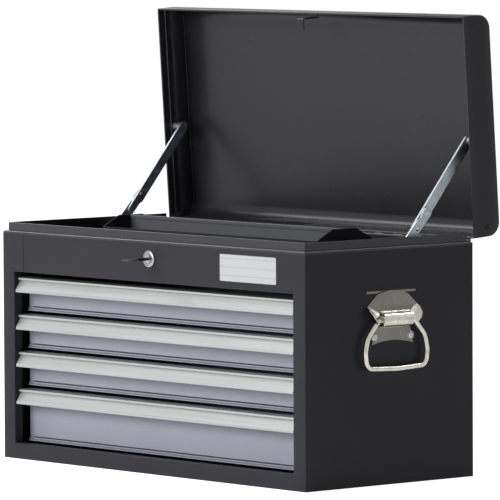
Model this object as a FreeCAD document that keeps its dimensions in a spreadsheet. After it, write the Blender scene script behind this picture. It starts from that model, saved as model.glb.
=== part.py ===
# A machinist tool chest: a folded sheet-steel case with four drawers on slides, a lift-out tray in
# the top compartment, a lid on a piano hinge with two folding stays, a cam lock and two drop handles.
# Millimetres. X runs to the right, Y to the back, Z up. The origin is the centre of the base.
# The lid stands open, the drawers are shut and the key is in the lock.

import FreeCAD, Part
import math
import os
import Sketcher

V = FreeCAD.Vector

# The driving sizes, with what each one measures.
SIZES = (
    ("case_width", 660.0, "outer width of the case"),
    ("case_depth", 310.0, "outer depth of the case, front to back"),
    ("shoulder_height", 328.0, "height of the ledge that the lid closes on"),
    ("sheet", 1.0, "sheet steel of the case and lid"),
    ("rim_height", 11.7, "upstand above the ledge"),
    ("rim_inset", 5.0, "upstand in from the front and side faces"),
    ("rim_back_inset", 2.2, "upstand in from the back face"),
    ("rim_sheet", 1.2, "sheet of the upstand"),
    ("rim_corner", 5.0, "outer corner radius of the upstand"),
    ("stile_width", 26.4, "front face beside the drawer opening"),
    ("top_panel_height", 58.6, "front face above the drawer opening"),
    ("bottom_rail_height", 22.3, "front face below the drawer opening"),
    ("seam_from_side", 47.8, "ends of the top front panel, in from the side faces"),
    ("lock_panel_half", 20.0, "ends of the panel that carries the lock, from its middle"),
    ("fold_reach", 13.0, "returns folded back round the drawer opening"),
    ("foot_flange", 15.0, "flange folded in under each side panel"),
    ("floor_lip_height", 10.0, "edge turned up round the compartment floor"),
    ("post_side_gap", 1.0, "slide posts, out from the edge of the opening"),
    ("post_sheet", 1.2, "sheet of the slide posts"),
    ("post_width", 24.0, "slide posts, front to back"),
    ("front_post_setback", 43.0, "front posts, back from the front face"),
    ("back_post_setback", 11.0, "rear posts, in from the back face"),
    ("drawer_side_gap", 1.5, "drawer fronts to the sides of the opening"),
    ("drawer_top_gap", 7.5, "top drawer to the top of the opening"),
    ("drawer_gap", 4.2, "between drawer fronts"),
    ("drawer_bottom_gap", 2.2, "bottom drawer to the bottom of the opening"),
    ("small_front_height", 49.5, "fronts of the three upper drawers"),
    ("front_recess", 26.0, "drawer fronts, back from the front face"),
    ("front_sheet", 1.0, "sheet of the drawer fronts"),
    ("front_fold", 10.0, "ends of the drawer fronts folded back"),
    ("lip_height", 5.0, "bead along the bottom of a drawer front"),
    ("lip_reach", 3.0, "bead, forward of the drawer front"),
    ("pull_reach", 24.6, "drawer pull, forward of the drawer front"),
    ("pull_height", 22.0, "drawer pull, top to bottom"),
    ("pull_top_reach", 14.0, "flat top of the pull"),
    ("pull_fin_reach", 20.0, "fin along the top of the pull, forward"),
    ("pull_fin_drop", 2.6, "edge of the fin, down"),
    ("pull_groove_reach", 16.5, "groove under the fin, forward"),
    ("pull_groove_drop", 5.8, "groove under the fin, down"),
    ("pull_nose_drop", 18.5, "upper end of the pull's lip, down"),
    ("pull_wall", 1.6, "wall of the pull"),
    ("pull_leg", 9.0, "leg of the pull against the drawer front"),
    ("box_side_gap", 10.0, "drawer box to the sides of the opening"),
    ("box_sheet", 0.9, "sheet of the drawer boxes"),
    ("box_back_gap", 6.5, "drawer boxes to the drawer lock bar"),
    ("box_top_drop", 12.0, "drawer box below the top of its front"),
    ("box_floor_rise", 2.0, "drawer box above the bottom of its front"),
    ("slide_sheet", 1.0, "sheet of the drawer slides"),
    ("channel_height", 14.0, "outer height of a slide channel"),
    ("channel_reach", 8.0, "a slide channel, in from its post"),
    ("slide_play", 0.3, "rail in its channel, above and below"),
    ("slide_rise", 18.0, "middle of a slide above the bottom of the front"),
    ("rail_plate_height", 18.0, "plate of a rail on the side of its box"),
    ("rail_end_gap", 1.0, "rail in its channel, endways"),
    ("channel_setback", 41.0, "slide channels, back from the front face"),
    ("channel_back_gap", 3.0, "slide channels to the back panel"),
    ("lid_depth", 50.0, "outer depth of the lid"),
    ("lid_radius", 20.0, "bends along the lid's front and back"),
    ("lid_gap", 0.6, "shut lid above the ledge"),
    ("lid_hem_height", 12.5, "edge of the lid folded in, upward"),
    ("lid_open_angle", 86.2, "degrees that the open lid has turned"),
    ("lid_slot_length", 30.0, "slot in the lid's back wall"),
    ("lid_slot_height", 5.0, "slot in the lid's back wall"),
    ("lid_slot_rise", 30.0, "middle of that slot above the ledge"),
    ("hinge_setback", 3.6, "hinge axis behind the back face"),
    ("hinge_end_gap", 10.0, "hinge in from the sides of the case"),
    ("knuckle_radius", 2.6, "outer radius of the hinge knuckles"),
    ("knuckle_play", 0.4, "between neighbouring knuckles"),
    ("hinge_pin_radius", 1.2, "pin of the piano hinge"),
    ("pin_play", 0.05, "radial clearance of pins and rivets that turn"),
    ("leaf_sheet", 0.9, "leaves of the piano hinge"),
    ("leaf_height", 22.0, "leaves of the piano hinge"),
    ("catch_width", 20.0, "strap of the lid's catch"),
    ("catch_hook_width", 14.0, "hook of the lid's catch"),
    ("catch_sheet", 1.5, "plate of the lid's catch"),
    ("catch_rim_gap", 1.6, "catch over and behind the upstand"),
    ("catch_tab_height", 12.0, "tab of the catch on the lid's front wall"),
    ("catch_drop", 11.5, "hook of the catch below the ledge"),
    ("catch_hook_reach", 16.5, "hook of the catch, backward"),
    ("lock_drop", 25.4, "lock below the ledge"),
    ("rosette_radius", 11.8, "rosette of the lock"),
    ("rosette_thickness", 3.0, "rosette of the lock"),
    ("rosette_bevel", 1.2, "edge of the rosette"),
    ("barrel_radius", 9.0, "barrel of the lock"),
    ("barrel_length", 18.0, "barrel of the lock behind the panel's face"),
    ("plug_radius", 6.0, "plug of the lock"),
    ("plug_nose", 0.8, "plug in front of the rosette"),
    ("nut_radius", 14.0, "corners of the lock's nut"),
    ("nut_thickness", 3.0, "nut of the lock"),
    ("cam_sheet", 1.6, "cam of the lock"),
    ("cam_hub_radius", 7.0, "hub of the cam"),
    ("cam_gap", 0.5, "finger of the cam above the catch's hook"),
    ("cam_finger_width", 4.0, "finger of the cam"),
    ("cam_finger_start", 145.0, "degrees round from +X, leading end of the finger"),
    ("cam_arm_start", 220.0, "degrees round from +X, near edge of the arm"),
    ("cam_arm_end", 240.0, "degrees round from +X, far edge of the arm"),
    ("key_reach", 46.8, "key in front of the panel's face"),
    ("key_thickness", 2.0, "key"),
    ("key_blade_width", 8.0, "blade of the key"),
    ("key_blade_length", 16.0, "blade of the key behind the panel's face"),
    ("key_play", 0.1, "key in its keyway, all round"),
    ("key_bow_radius", 12.0, "bow of the key"),
    ("key_hole_radius", 3.5, "hole in the bow"),
    ("label_width", 118.0, "blank label plate"),
    ("label_height", 37.0, "blank label plate"),
    ("label_sheet", 0.6, "blank label plate"),
    ("label_inset", 60.3, "right edge of the label plate in from the side face"),
    ("label_drop", 11.0, "top of the label plate below the ledge"),
    ("grip_centre", 3.0, "side handles behind the middle of the case"),
    ("grip_top", 268.0, "top of a handle plate above the base"),
    ("grip_shoulder_drop", 6.0, "ends of the plate's top arc, down"),
    ("grip_shoulder_half", 30.3, "ends of the plate's top arc, from its middle"),
    ("grip_ear_drop", 20.5, "ears of the plate, down"),
    ("grip_ear_half", 45.6, "ears of the plate, from its middle"),
    ("grip_neck_drop", 32.0, "upper end of the plate's neck, down"),
    ("grip_neck_half", 33.0, "neck of the plate, from its middle"),
    ("grip_flare_drop", 53.0, "lower end of the plate's neck, down"),
    ("grip_foot_drop", 74.0, "lower corners of the plate, down"),
    ("grip_foot_half", 38.4, "lower corners of the plate, from its middle"),
    ("grip_arch", 5.4, "rise of the arc between the lower corners"),
    ("grip_sheet", 1.5, "handle plate"),
    ("grip_barrel_radius", 8.5, "rolled barrel of the plate"),
    ("grip_barrel_half", 27.5, "rolled barrel, from its middle"),
    ("grip_barrel_drop", 40.7, "axis of the barrel below the plate's top"),
    ("grip_barrel_gap", 0.3, "barrel off the side panel"),
    ("grip_collar", 10.0, "closed ends of the barrel that hold the bail"),
    ("bail_radius", 3.2, "wire of the bail"),
    ("bail_leg_out", 5.6, "start of the bail's slanted legs beyond the barrel"),
    ("bail_elbow", 5.0, "radius of the bends at the barrel"),
    ("bail_leg_half", 53.0, "lower end of the slanted legs, from the bail's middle"),
    ("bail_leg_drop", 23.0, "lower end of the slanted legs below the axis"),
    ("bail_half", 57.2, "widest place of the bail, from its middle"),
    ("bail_wide_drop", 42.0, "widest place of the bail below the axis"),
    ("bail_side_bend", 27.0, "radius of the bends in the bail's sides"),
    ("bail_corner_half", 54.8, "corners of the bail, from its middle"),
    ("bail_corner_drop", 64.6, "corners of the bail below the axis"),
    ("bail_corner", 12.0, "corner radius of the bail"),
    ("bail_drop", 67.0, "middle of the bail's bowed grip below the axis"),
    ("bail_grip_bend", 200.0, "radius of the bow in the grip"),
    ("bail_tail", 9.0, "ends of the bail inside the barrel"),
    ("rivet_spacing", 67.4, "rivets of a handle plate"),
    ("rivet_drop", 63.5, "rivets below the plate's top"),
    ("rivet_radius", 2.4, "shank of a rivet"),
    ("rivet_head_radius", 4.6, "head of a rivet"),
    ("rivet_head_height", 1.8, "head of a rivet"),
    ("side_slot_length", 93.0, "slot in a side panel over the handle"),
    ("side_slot_height", 2.4, "slot in a side panel over the handle"),
    ("side_slot_drop", 1.7, "middle of that slot below the plate's top"),
    ("tray_end_gap", 98.0, "ends of the tray to the side faces of the case"),
    ("tray_width", 103.0, "lift-out tray, front to back"),
    ("tray_centre", 3.5, "lift-out tray behind the middle of the case"),
    ("tray_wall_height", 61.6, "long walls of the tray"),
    ("tray_end_height", 77.0, "end walls and carrying plate of the tray"),
    ("tray_end_top", 44.0, "flat top of an end wall"),
    ("tray_sheet", 1.0, "sheet of the tray"),
    ("tray_hem", 3.0, "hemmed top of the carrying plate, thickness"),
    ("tray_hem_height", 6.0, "hemmed top of the carrying plate"),
    ("tray_slot_length", 110.0, "hand slot in the carrying plate"),
    ("tray_slot_height", 26.0, "hand slot in the carrying plate"),
    ("tray_slot_drop", 27.0, "hand slot below the top of the plate"),
    ("stay_inset", 18.8, "stays in from the side faces of the case"),
    ("stay_pivot_ahead", 143.6, "lower pivots in front of the hinge axis"),
    ("stay_pivot_drop", 35.0, "lower pivots below the ledge"),
    ("lower_arm_length", 106.4, "lower arm between its pivots"),
    ("upper_arm_length", 125.5, "upper arm between its pivots"),
    ("lower_arm_angle", 46.9, "degrees of the lower arm above level"),
    ("upper_arm_angle", 50.05, "degrees of the upper arm above level"),
    ("stay_width", 13.0, "arms of a stay"),
    ("stay_sheet", 2.0, "arms of a stay"),
    ("stay_gap", 0.3, "between the arms, and between an arm and its stud"),
    ("stay_rivet_radius", 2.8, "rivets of a stay"),
    ("stay_head_radius", 4.8, "heads of a stay's rivets"),
    ("stay_head_height", 1.4, "heads of a stay's rivets"),
    ("stay_stud_radius", 6.0, "studs that carry the stays"),
    ("stay_stop_distance", 28.2, "stop rivet from the elbow"),
    ("stay_tail", 36.0, "tail of the upper arm past the elbow"),
    ("stay_notch", 2.2, "thumb notch in the lower arm"),
    ("bar_place", -40.0, "drawer lock bar, from the middle of the case"),
    ("bar_width", 20.0, "drawer lock bar"),
    ("bar_sheet", 1.5, "drawer lock bar"),
    ("bar_back_gap", 4.0, "drawer lock bar to the back panel"),
    ("bar_top_gap", 7.5, "top of the bar below the top of the upstand"),
    ("bar_foot_rise", 12.0, "foot of the bar above the base"),
    ("bar_slack", 0.3, "bar in its guides and in the floor"),
    ("finger_gap", 1.0, "bar's fingers over the back walls of the drawers"),
    ("finger_height", 7.0, "bar's fingers"),
    ("finger_back_gap", 2.0, "bar's fingers to the back walls they hold"),
    ("guide_sheet", 1.2, "guides of the bar"),
    ("guide_height", 14.0, "guides of the bar"),
    ("guide_wing", 10.0, "wings of a guide on the back panel"),
    ("lower_guide_rise", 30.0, "lower guide above the foot of the bar"),
    ("upper_guide_drop", 14.0, "upper guide below the tip of the top finger"),
)

DRAWERS = 4
KNUCKLE_PAIRS = 16
NUT_SIDES = 6


# A number with the sheet expression that it comes from. Geometry is placed with the number and
# bound with the expression, so both always say the same.
class Size:
    def __init__(self, value, text):
        self.value = value
        self.text = text

    def __add__(self, other):
        other = as_size(other)
        return Size(self.value + other.value, f"({self.text} + {other.text})")

    def __sub__(self, other):
        other = as_size(other)
        return Size(self.value - other.value, f"({self.text} - {other.text})")

    def __mul__(self, other):
        other = as_size(other)
        return Size(self.value * other.value, f"({self.text} * {other.text})")

    def __truediv__(self, other):
        other = as_size(other)
        return Size(self.value / other.value, f"({self.text} / {other.text})")

    def __neg__(self):
        return Size(-self.value, f"(0 - {self.text})")

    __radd__ = __add__
    __rmul__ = __mul__

    def __rsub__(self, other):
        return as_size(other) - self


def as_size(number):
    return number if isinstance(number, Size) else Size(float(number), f"{number:g}")


def cosine(angle):
    return Size(math.cos(math.radians(angle.value)), f"cos({angle.text})")


def sine(angle):
    return Size(math.sin(math.radians(angle.value)), f"sin({angle.text})")


doc = FreeCAD.newDocument("tool_chest")
sheet = doc.addObject("Spreadsheet::Sheet", "Sizes")


class Sizes:
    pass


s = Sizes()
for row, (alias, number, meaning) in enumerate(SIZES, 1):
    sheet.set(f"A{row}", meaning)
    sheet.set(f"B{row}", f"{number:g}")
    sheet.setAlias(f"B{row}", alias)
    setattr(s, alias, Size(number, f"Sizes.{alias}"))
doc.recompute()

# The sketch planes, with the side that each one's normal points to along its own axis.
PLANES = {"XY": 1, "XZ": -1, "YZ": 1}

subparts = {}


def bind(thing, name, size):
    thing.setExpression(name, as_size(size).text)


def keep(thing, name):
    thing.Label = name
    subparts[name] = thing
    return thing


def new_body(name):
    return keep(doc.addObject("PartDesign::Body", name), name)


def plane_of(body, plane):
    for feature in body.Origin.OriginFeatures:
        if feature.Role == f"{plane}_Plane":
            return feature


def arc_between(start, end, radius):
    # The lesser arc from start to end, with its centre on the left for a positive radius.
    chord = end - start
    half = chord.Length / 2
    left = V(-chord.y, chord.x, 0).normalize()
    rise = math.sqrt(max(radius * radius - half * half, 0))
    turn = 1 if radius > 0 else -1
    centre = (start + end) / 2 + left * rise * turn
    middle = centre - left * abs(radius) * turn
    return Part.Arc(start, middle, end)


def pin_point(sketch, shape, end, place):
    # Hold one end of a line or arc at its place from the sketch's origin.
    for kind, size in (("DistanceX", as_size(place[0])), ("DistanceY", as_size(place[1]))):
        index = sketch.addConstraint(Sketcher.Constraint(kind, -1, 1, shape, end, size.value))
        sketch.setExpression(f"Constraints[{index}]", size.text)


def trace(sketch, corners, closed=True):
    # A run of lines, and of arcs where a corner names the radius of the way to the next one.
    count = len(corners)
    first = sketch.GeometryCount
    ends = []
    for number in range(count if closed else count - 1):
        here = corners[number]
        there = corners[(number + 1) % count]
        start = V(as_size(here[0]).value, as_size(here[1]).value, 0)
        end = V(as_size(there[0]).value, as_size(there[1]).value, 0)
        if len(here) == 3:
            index = sketch.addGeometry(arc_between(start, end, here[2].value), False)
            size = here[2] if here[2].value > 0 else -here[2]
            held = sketch.addConstraint(Sketcher.Constraint("Radius", index, size.value))
            sketch.setExpression(f"Constraints[{held}]", size.text)
            ends.append((1, 2) if here[2].value > 0 else (2, 1))
        else:
            sketch.addGeometry(Part.LineSegment(start, end), False)
            ends.append((1, 2))
    runs = len(ends)
    for number in range(runs):
        after = (number + 1) % runs
        pin_point(sketch, first + number, ends[number][0], corners[number])
        if closed or after:
            sketch.addConstraint(Sketcher.Constraint(
                "Coincident", first + number, ends[number][1], first + after, ends[after][0]))
    if not closed:
        pin_point(sketch, first + runs - 1, ends[-1][1], corners[-1])


def ring(sketch, place, radius):
    index = sketch.addGeometry(
        Part.Circle(V(as_size(place[0]).value, as_size(place[1]).value, 0), V(0, 0, 1), radius.value), False)
    pin_point(sketch, index, 3, place)
    held = sketch.addConstraint(Sketcher.Constraint("Radius", index, radius.value))
    sketch.setExpression(f"Constraints[{held}]", radius.text)


def draw(body, name, plane, level, loops=(), rings=()):
    sketch = body.newObject("Sketcher::SketchObject", f"{body.Name}_{name}_sketch")
    sketch.AttachmentSupport = [(plane_of(body, plane), "")]
    sketch.MapMode = "FlatFace"
    bind(sketch, "AttachmentOffset.Base.z", as_size(level) * PLANES[plane])
    for corners in loops:
        trace(sketch, corners)
    for place, radius in rings:
        ring(sketch, place, radius)
    return sketch


def add(body, name, plane, low, high, loops=(), rings=()):
    # Material between two levels across the plane.
    low, high = as_size(low), as_size(high)
    sketch = draw(body, name, plane, low if PLANES[plane] > 0 else high, loops, rings)
    pad = body.newObject("PartDesign::Pad", f"{body.Name}_{name}")
    pad.Profile = sketch
    bind(pad, "Length", high - low)
    doc.recompute()
    return pad


def cut(body, name, plane, low, high, loops=(), rings=()):
    # A hole between two levels across the plane. It has to take something away.
    before = body.Shape.Volume
    low, high = as_size(low), as_size(high)
    sketch = draw(body, name, plane, high if PLANES[plane] > 0 else low, loops, rings)
    pocket = body.newObject("PartDesign::Pocket", f"{body.Name}_{name}")
    pocket.Profile = sketch
    bind(pocket, "Length", high - low)
    doc.recompute()
    if body.Shape.Volume >= before:
        raise ValueError(f"{body.Name}: {name} cuts nothing")
    return pocket


def round_edges(body, name, radius, chosen):
    base = body.Tip
    picks = [f"Edge{number}" for number, edge in enumerate(base.Shape.Edges, 1) if chosen(edge)]
    if not picks:
        raise ValueError(f"{body.Name}: no edges for {name}")
    fillet = body.newObject("PartDesign::Fillet", f"{body.Name}_{name}")
    fillet.Base = (base, picks)
    bind(fillet, "Radius", radius)
    doc.recompute()
    return fillet


def box(left, right, low, high):
    # The four corners of an upright rectangle.
    return [(left, low), (right, low), (right, high), (left, high)]


def rounded_box(left, right, low, high, radius):
    return [(left + radius, low), (right - radius, low, radius), (right, low + radius),
            (right, high - radius, radius), (right - radius, high), (left + radius, high, radius),
            (left, high - radius), (left, low + radius, radius)]


def both_sides(outline):
    return [outline, [(-across, along) for across, along in outline]]


def mirrored(source, name):
    copy = doc.addObject("Part::Mirroring", name)
    copy.Source = source
    copy.Normal = V(1, 0, 0)
    doc.recompute()
    return keep(copy, name)


# Places that several pieces share.
half_width = s.case_width / 2
half_depth = s.case_depth / 2
front = -half_depth
back = half_depth
inner_side = half_width - s.sheet
inner_front = front + s.sheet
inner_back = back - s.sheet
wall_top = s.shoulder_height - s.sheet
opening_half = half_width - s.stile_width
opening_top = s.shoulder_height - s.top_panel_height
opening_bottom = s.bottom_rail_height
floor_bottom = opening_top + s.sheet
floor_top = floor_bottom + s.sheet
rim_top = s.shoulder_height + s.rim_height
seam_half = half_width - s.seam_from_side
post_face = opening_half + s.post_side_gap
front_post = front + s.front_post_setback
back_post = back - s.back_post_setback
grip_centre = s.grip_centre
lock_height = s.shoulder_height - s.lock_drop
lock_drop_to_hook = s.lock_drop - s.catch_drop
bar_back = inner_back - s.bar_back_gap
bar_front = bar_back - s.bar_sheet
bar_left = s.bar_place - s.bar_width / 2
bar_right = s.bar_place + s.bar_width / 2
hinge_y = back + s.hinge_setback
hinge_z = s.shoulder_height
overrun = s.sheet


def swing_open(body):
    # Pieces of the lid are shaped shut and turned open about the hinge.
    turn = s.lid_open_angle
    body.Placement = FreeCAD.Placement(V(0, 0, 0), FreeCAD.Rotation(V(1, 0, 0), -turn.value))
    bind(body, "Placement.Rotation.Angle", -turn)
    bind(body, "Placement.Base.y", hinge_y * (1 - cosine(turn)) - hinge_z * sine(turn))
    bind(body, "Placement.Base.z", hinge_z * (1 - cosine(turn)) + hinge_y * sine(turn))


# Case


def side_panels():
    # Upright sheet with a flange folded in at the foot, two rivet holes and a slot over the handle.
    body = new_body("right_side_panel")
    flange = inner_side - s.foot_flange
    add(body, "sheet", "XZ", inner_front, inner_back, loops=[[
        (flange, s.sheet), (inner_side, s.sheet), (inner_side, 0), (half_width, 0),
        (half_width, wall_top), (inner_side, wall_top), (inner_side, s.sheet * 2), (flange, s.sheet * 2)]])
    slot_middle = s.grip_top - s.side_slot_drop
    slot_half = s.side_slot_length / 2
    cut(body, "slot", "YZ", inner_side - overrun, half_width + overrun, loops=[box(
        grip_centre - slot_half, grip_centre + slot_half,
        slot_middle - s.side_slot_height / 2, slot_middle + s.side_slot_height / 2)])
    rivet_height = s.grip_top - s.rivet_drop
    cut(body, "rivet_holes", "YZ", inner_side - overrun, half_width + overrun, rings=[
        ((grip_centre - s.rivet_spacing / 2, rivet_height), s.rivet_radius + s.pin_play),
        ((grip_centre + s.rivet_spacing / 2, rivet_height), s.rivet_radius + s.pin_play)])
    mirrored(body, "left_side_panel")


def back_and_bottom_panel():
    # Back and bottom in one sheet, folded at the foot of the back.
    body = new_body("back_and_bottom_panel")
    add(body, "back", "XZ", inner_back, back, loops=[box(-half_width, half_width, 0, wall_top)])
    add(body, "bottom", "XY", 0, s.sheet, loops=[box(-inner_side, inner_side, inner_front, inner_back)])


def front_frame():
    # Two stiles and the bottom rail in one sheet, with their returns folded back into the case.
    body = new_body("front_frame")
    add(body, "sheet", "XZ", front, inner_front, loops=[[
        (-half_width, 0), (half_width, 0), (half_width, wall_top), (seam_half, wall_top),
        (seam_half, opening_top), (opening_half, opening_top), (opening_half, opening_bottom),
        (-opening_half, opening_bottom), (-opening_half, opening_top), (-seam_half, opening_top),
        (-seam_half, wall_top), (-half_width, wall_top)]])
    outer_fold = opening_half + s.sheet
    lower_fold = opening_bottom - s.sheet
    add(body, "returns", "XZ", inner_front, inner_front + s.fold_reach, loops=[[
        (-outer_fold, lower_fold), (outer_fold, lower_fold), (outer_fold, opening_top),
        (opening_half, opening_top), (opening_half, opening_bottom), (-opening_half, opening_bottom),
        (-opening_half, opening_top), (-outer_fold, opening_top)]])


def top_front_panel():
    # The panel over the drawers, with a return under it that the compartment floor rests on. The length
    # that carries the lock is a piece of its own, so that the collision pieces leave the key's way open.
    section = [
        (front, opening_top), (inner_front + s.fold_reach, opening_top),
        (inner_front + s.fold_reach, floor_bottom), (inner_front, floor_bottom),
        (inner_front, wall_top), (front, wall_top)]
    body = new_body("top_front_panel")
    add(body, "left_sheet", "YZ", -seam_half, -s.lock_panel_half, loops=[section])
    add(body, "right_sheet", "YZ", s.lock_panel_half, seam_half, loops=[section])
    middle = new_body("lock_panel")
    add(middle, "sheet", "YZ", -s.lock_panel_half, s.lock_panel_half, loops=[section])
    cut(middle, "lock_hole", "XZ", front - overrun, inner_front + overrun, rings=[
        ((0, lock_height), s.barrel_radius + s.pin_play)])


def compartment_floor():
    # Floor pan of the top compartment. Its edges turn up against the walls.
    body = new_body("compartment_floor")
    lip_top = floor_top + s.floor_lip_height
    add(body, "block", "XY", floor_bottom, lip_top, loops=[
        box(-inner_side, inner_side, inner_front, inner_back)])
    pan_side = inner_side - s.sheet
    cut(body, "hollow", "XY", floor_top, lip_top, loops=[
        box(-pan_side, pan_side, inner_front + s.sheet, inner_back - s.sheet)])
    cut(body, "bar_slot", "XY", floor_bottom - overrun, floor_top, loops=[box(
        bar_left - s.bar_slack, bar_right + s.bar_slack, bar_front - s.bar_slack, bar_back + s.bar_slack)])


def top_rim():
    # The ledge that the lid closes on, with an upstand inside it along the front and both sides.
    body = new_body("top_rim")
    outer = half_width - s.rim_inset
    outer_front = front + s.rim_inset
    outer_back = back - s.rim_back_inset
    inner = outer - s.rim_sheet
    inside = rounded_box(-inner, inner, outer_front + s.rim_sheet, outer_back - s.rim_sheet,
                         s.rim_corner - s.rim_sheet)
    add(body, "ledge", "XY", wall_top, s.shoulder_height, loops=[
        box(-half_width, half_width, front, back), inside])
    add(body, "upstand", "XY", s.shoulder_height, rim_top, loops=[
        rounded_box(-outer, outer, outer_front, outer_back, s.rim_corner), inside])
    cut(body, "hinge_side", "XY", s.shoulder_height, rim_top + overrun, loops=[
        box(-outer, outer, outer_back - s.rim_corner, outer_back)])


def slide_posts():
    # Two channel-section posts a side carry the drawer slides.
    body = new_body("slide_posts")
    web = post_face + s.post_sheet
    loops = []
    for low in (front_post, back_post - s.post_width):
        high = low + s.post_width
        loops += both_sides([
            (post_face, low), (inner_side, low), (inner_side, low + s.post_sheet), (web, low + s.post_sheet),
            (web, high - s.post_sheet), (inner_side, high - s.post_sheet), (inner_side, high),
            (post_face, high)])
    add(body, "posts", "XY", s.sheet * 2, floor_bottom, loops=loops)


def label_plate():
    body = new_body("label_plate")
    right = half_width - s.label_inset
    top = s.shoulder_height - s.label_drop
    add(body, "sheet", "XZ", front - s.label_sheet, front, loops=[
        box(right - s.label_width, right, top - s.label_height, top)])


# Drawers, numbered from the top


def drawer_span(number):
    # Bottom and top of a drawer's front. The last one takes what the others leave.
    top = opening_top - s.drawer_top_gap - (s.small_front_height + s.drawer_gap) * number
    if number == DRAWERS - 1:
        return opening_bottom + s.drawer_bottom_gap, top
    return top - s.small_front_height, top


front_face = front + s.front_recess
box_front = front_face + s.front_sheet
box_back = bar_front - s.box_back_gap
box_half = opening_half - s.box_side_gap
front_half = opening_half - s.drawer_side_gap


def drawer_box(number, name):
    # Open sheet-metal box. Its back wall is what the lock bar holds.
    low, high = drawer_span(number)
    floor = low + s.box_floor_rise
    rim = high - s.box_top_drop
    body = new_body(f"{name}_box")
    add(body, "block", "XY", floor, rim, loops=[box(-box_half, box_half, box_front, box_back)])
    inner = box_half - s.box_sheet
    cut(body, "hollow", "XY", floor + s.box_sheet, rim, loops=[
        box(-inner, inner, box_front + s.box_sheet, box_back - s.box_sheet)])


def drawer_front(number, name):
    # Sheet front with a bead along its foot and its ends folded back.
    low, high = drawer_span(number)
    top = high - s.pull_wall
    knee = low + s.lip_height
    bead = front_face - s.lip_reach
    body = new_body(f"{name}_front")
    add(body, "sheet", "YZ", -front_half, front_half, loops=[[
        (box_front, top), (front_face, top), (front_face, knee), (bead, knee), (bead, low),
        (bead + s.front_sheet, low), (bead + s.front_sheet, knee - s.front_sheet),
        (box_front, knee - s.front_sheet)]])
    fold = front_half - s.front_sheet
    add(body, "ends", "XZ", box_front, box_front + s.front_fold, loops=[
        box(fold, front_half, knee, top), box(-front_half, -fold, knee, top)])


def drawer_pull(number, name):
    # Full-width extrusion over the top edge of the front: flat top, fin, slanted face and a lip.
    high = drawer_span(number)[1]
    wall = s.pull_wall
    nose = front_face - s.pull_reach
    fin = front_face - s.pull_fin_reach
    groove = front_face - s.pull_groove_reach
    step = front_face - s.pull_top_reach
    leg = front_face - wall
    body = new_body(f"{name}_pull")
    add(body, "extrusion", "YZ", -front_half, front_half, loops=[[
        (box_front, high), (step, high), (fin, high - s.pull_fin_drop),
        (groove, high - s.pull_groove_drop), (nose, high - s.pull_nose_drop),
        (nose, high - s.pull_height), (nose + wall, high - s.pull_height),
        (nose + wall, high - s.pull_nose_drop - wall / 2),
        (groove + wall, high - s.pull_groove_drop - wall / 2), (step + wall, high - wall),
        (leg, high - wall), (leg, high - s.pull_leg), (front_face, high - s.pull_leg),
        (front_face, high - wall), (box_front, high - wall)]])


rail_tip = post_face - s.slide_sheet - s.rail_end_gap
tongue_half = s.channel_height / 2 - s.slide_sheet - s.slide_play
slide_front = front + s.channel_setback


def drawer_rails(number, name):
    # Hat-section rail on each side of the box. Its tongue runs inside the channel.
    middle = drawer_span(number)[0] + s.slide_rise
    inside = tongue_half - s.slide_sheet
    plate = box_half + s.slide_sheet
    plate_half = s.rail_plate_height / 2
    body = new_body(f"{name}_rails")
    add(body, "rails", "XZ", slide_front, box_back, loops=both_sides([
        (box_half, middle - plate_half), (plate, middle - plate_half), (plate, middle - tongue_half),
        (rail_tip, middle - tongue_half), (rail_tip, middle + tongue_half), (plate, middle + tongue_half),
        (plate, middle + plate_half), (box_half, middle + plate_half), (box_half, middle + inside),
        (rail_tip - s.slide_sheet, middle + inside), (rail_tip - s.slide_sheet, middle - inside),
        (box_half, middle - inside)]))


def slide_channels(number, name):
    # Fixed channel on each side, on the posts.
    middle = drawer_span(number)[0] + s.slide_rise
    half = s.channel_height / 2
    mouth = post_face - s.channel_reach
    web = post_face - s.slide_sheet
    body = new_body(f"{name}_channels")
    add(body, "channels", "XZ", slide_front, inner_back - s.channel_back_gap, loops=both_sides([
        (post_face, middle - half), (post_face, middle + half), (mouth, middle + half),
        (mouth, middle + half - s.slide_sheet), (web, middle + half - s.slide_sheet),
        (web, middle - half + s.slide_sheet), (mouth, middle - half + s.slide_sheet),
        (mouth, middle - half)]))


def drawers():
    for number in range(DRAWERS):
        name = f"drawer_{number + 1}"
        drawer_box(number, name)
        drawer_front(number, name)
        drawer_pull(number, name)
        drawer_rails(number, name)
        slide_channels(number, name)


# Drawer lock bar


def finger_tip(number):
    return drawer_span(number)[1] - s.box_top_drop + s.finger_gap


def lock_bar():
    # Flat bar behind the drawers, with an angle for each drawer welded to its front. The shutting lid
    # lowers it, and the angles then stand inside the back walls of the drawer boxes.
    bar = new_body("drawer_lock_bar")
    add(bar, "bar", "XZ", bar_front, bar_back, loops=[
        box(bar_left, bar_right, s.bar_foot_rise, rim_top - s.bar_top_gap)])
    fingers = new_body("lock_bar_fingers")
    finger_back = box_back - s.box_sheet - s.finger_back_gap
    finger_front = finger_back - s.bar_sheet
    loops = []
    for number in range(DRAWERS):
        tip = finger_tip(number)
        arm = tip + s.finger_height
        loops.append([
            (finger_front, tip), (finger_back, tip), (finger_back, arm - s.bar_sheet),
            (bar_front, arm - s.bar_sheet), (bar_front, arm), (finger_front, arm)])
    add(fingers, "fingers", "YZ", bar_left, bar_right, loops=loops)


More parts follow.
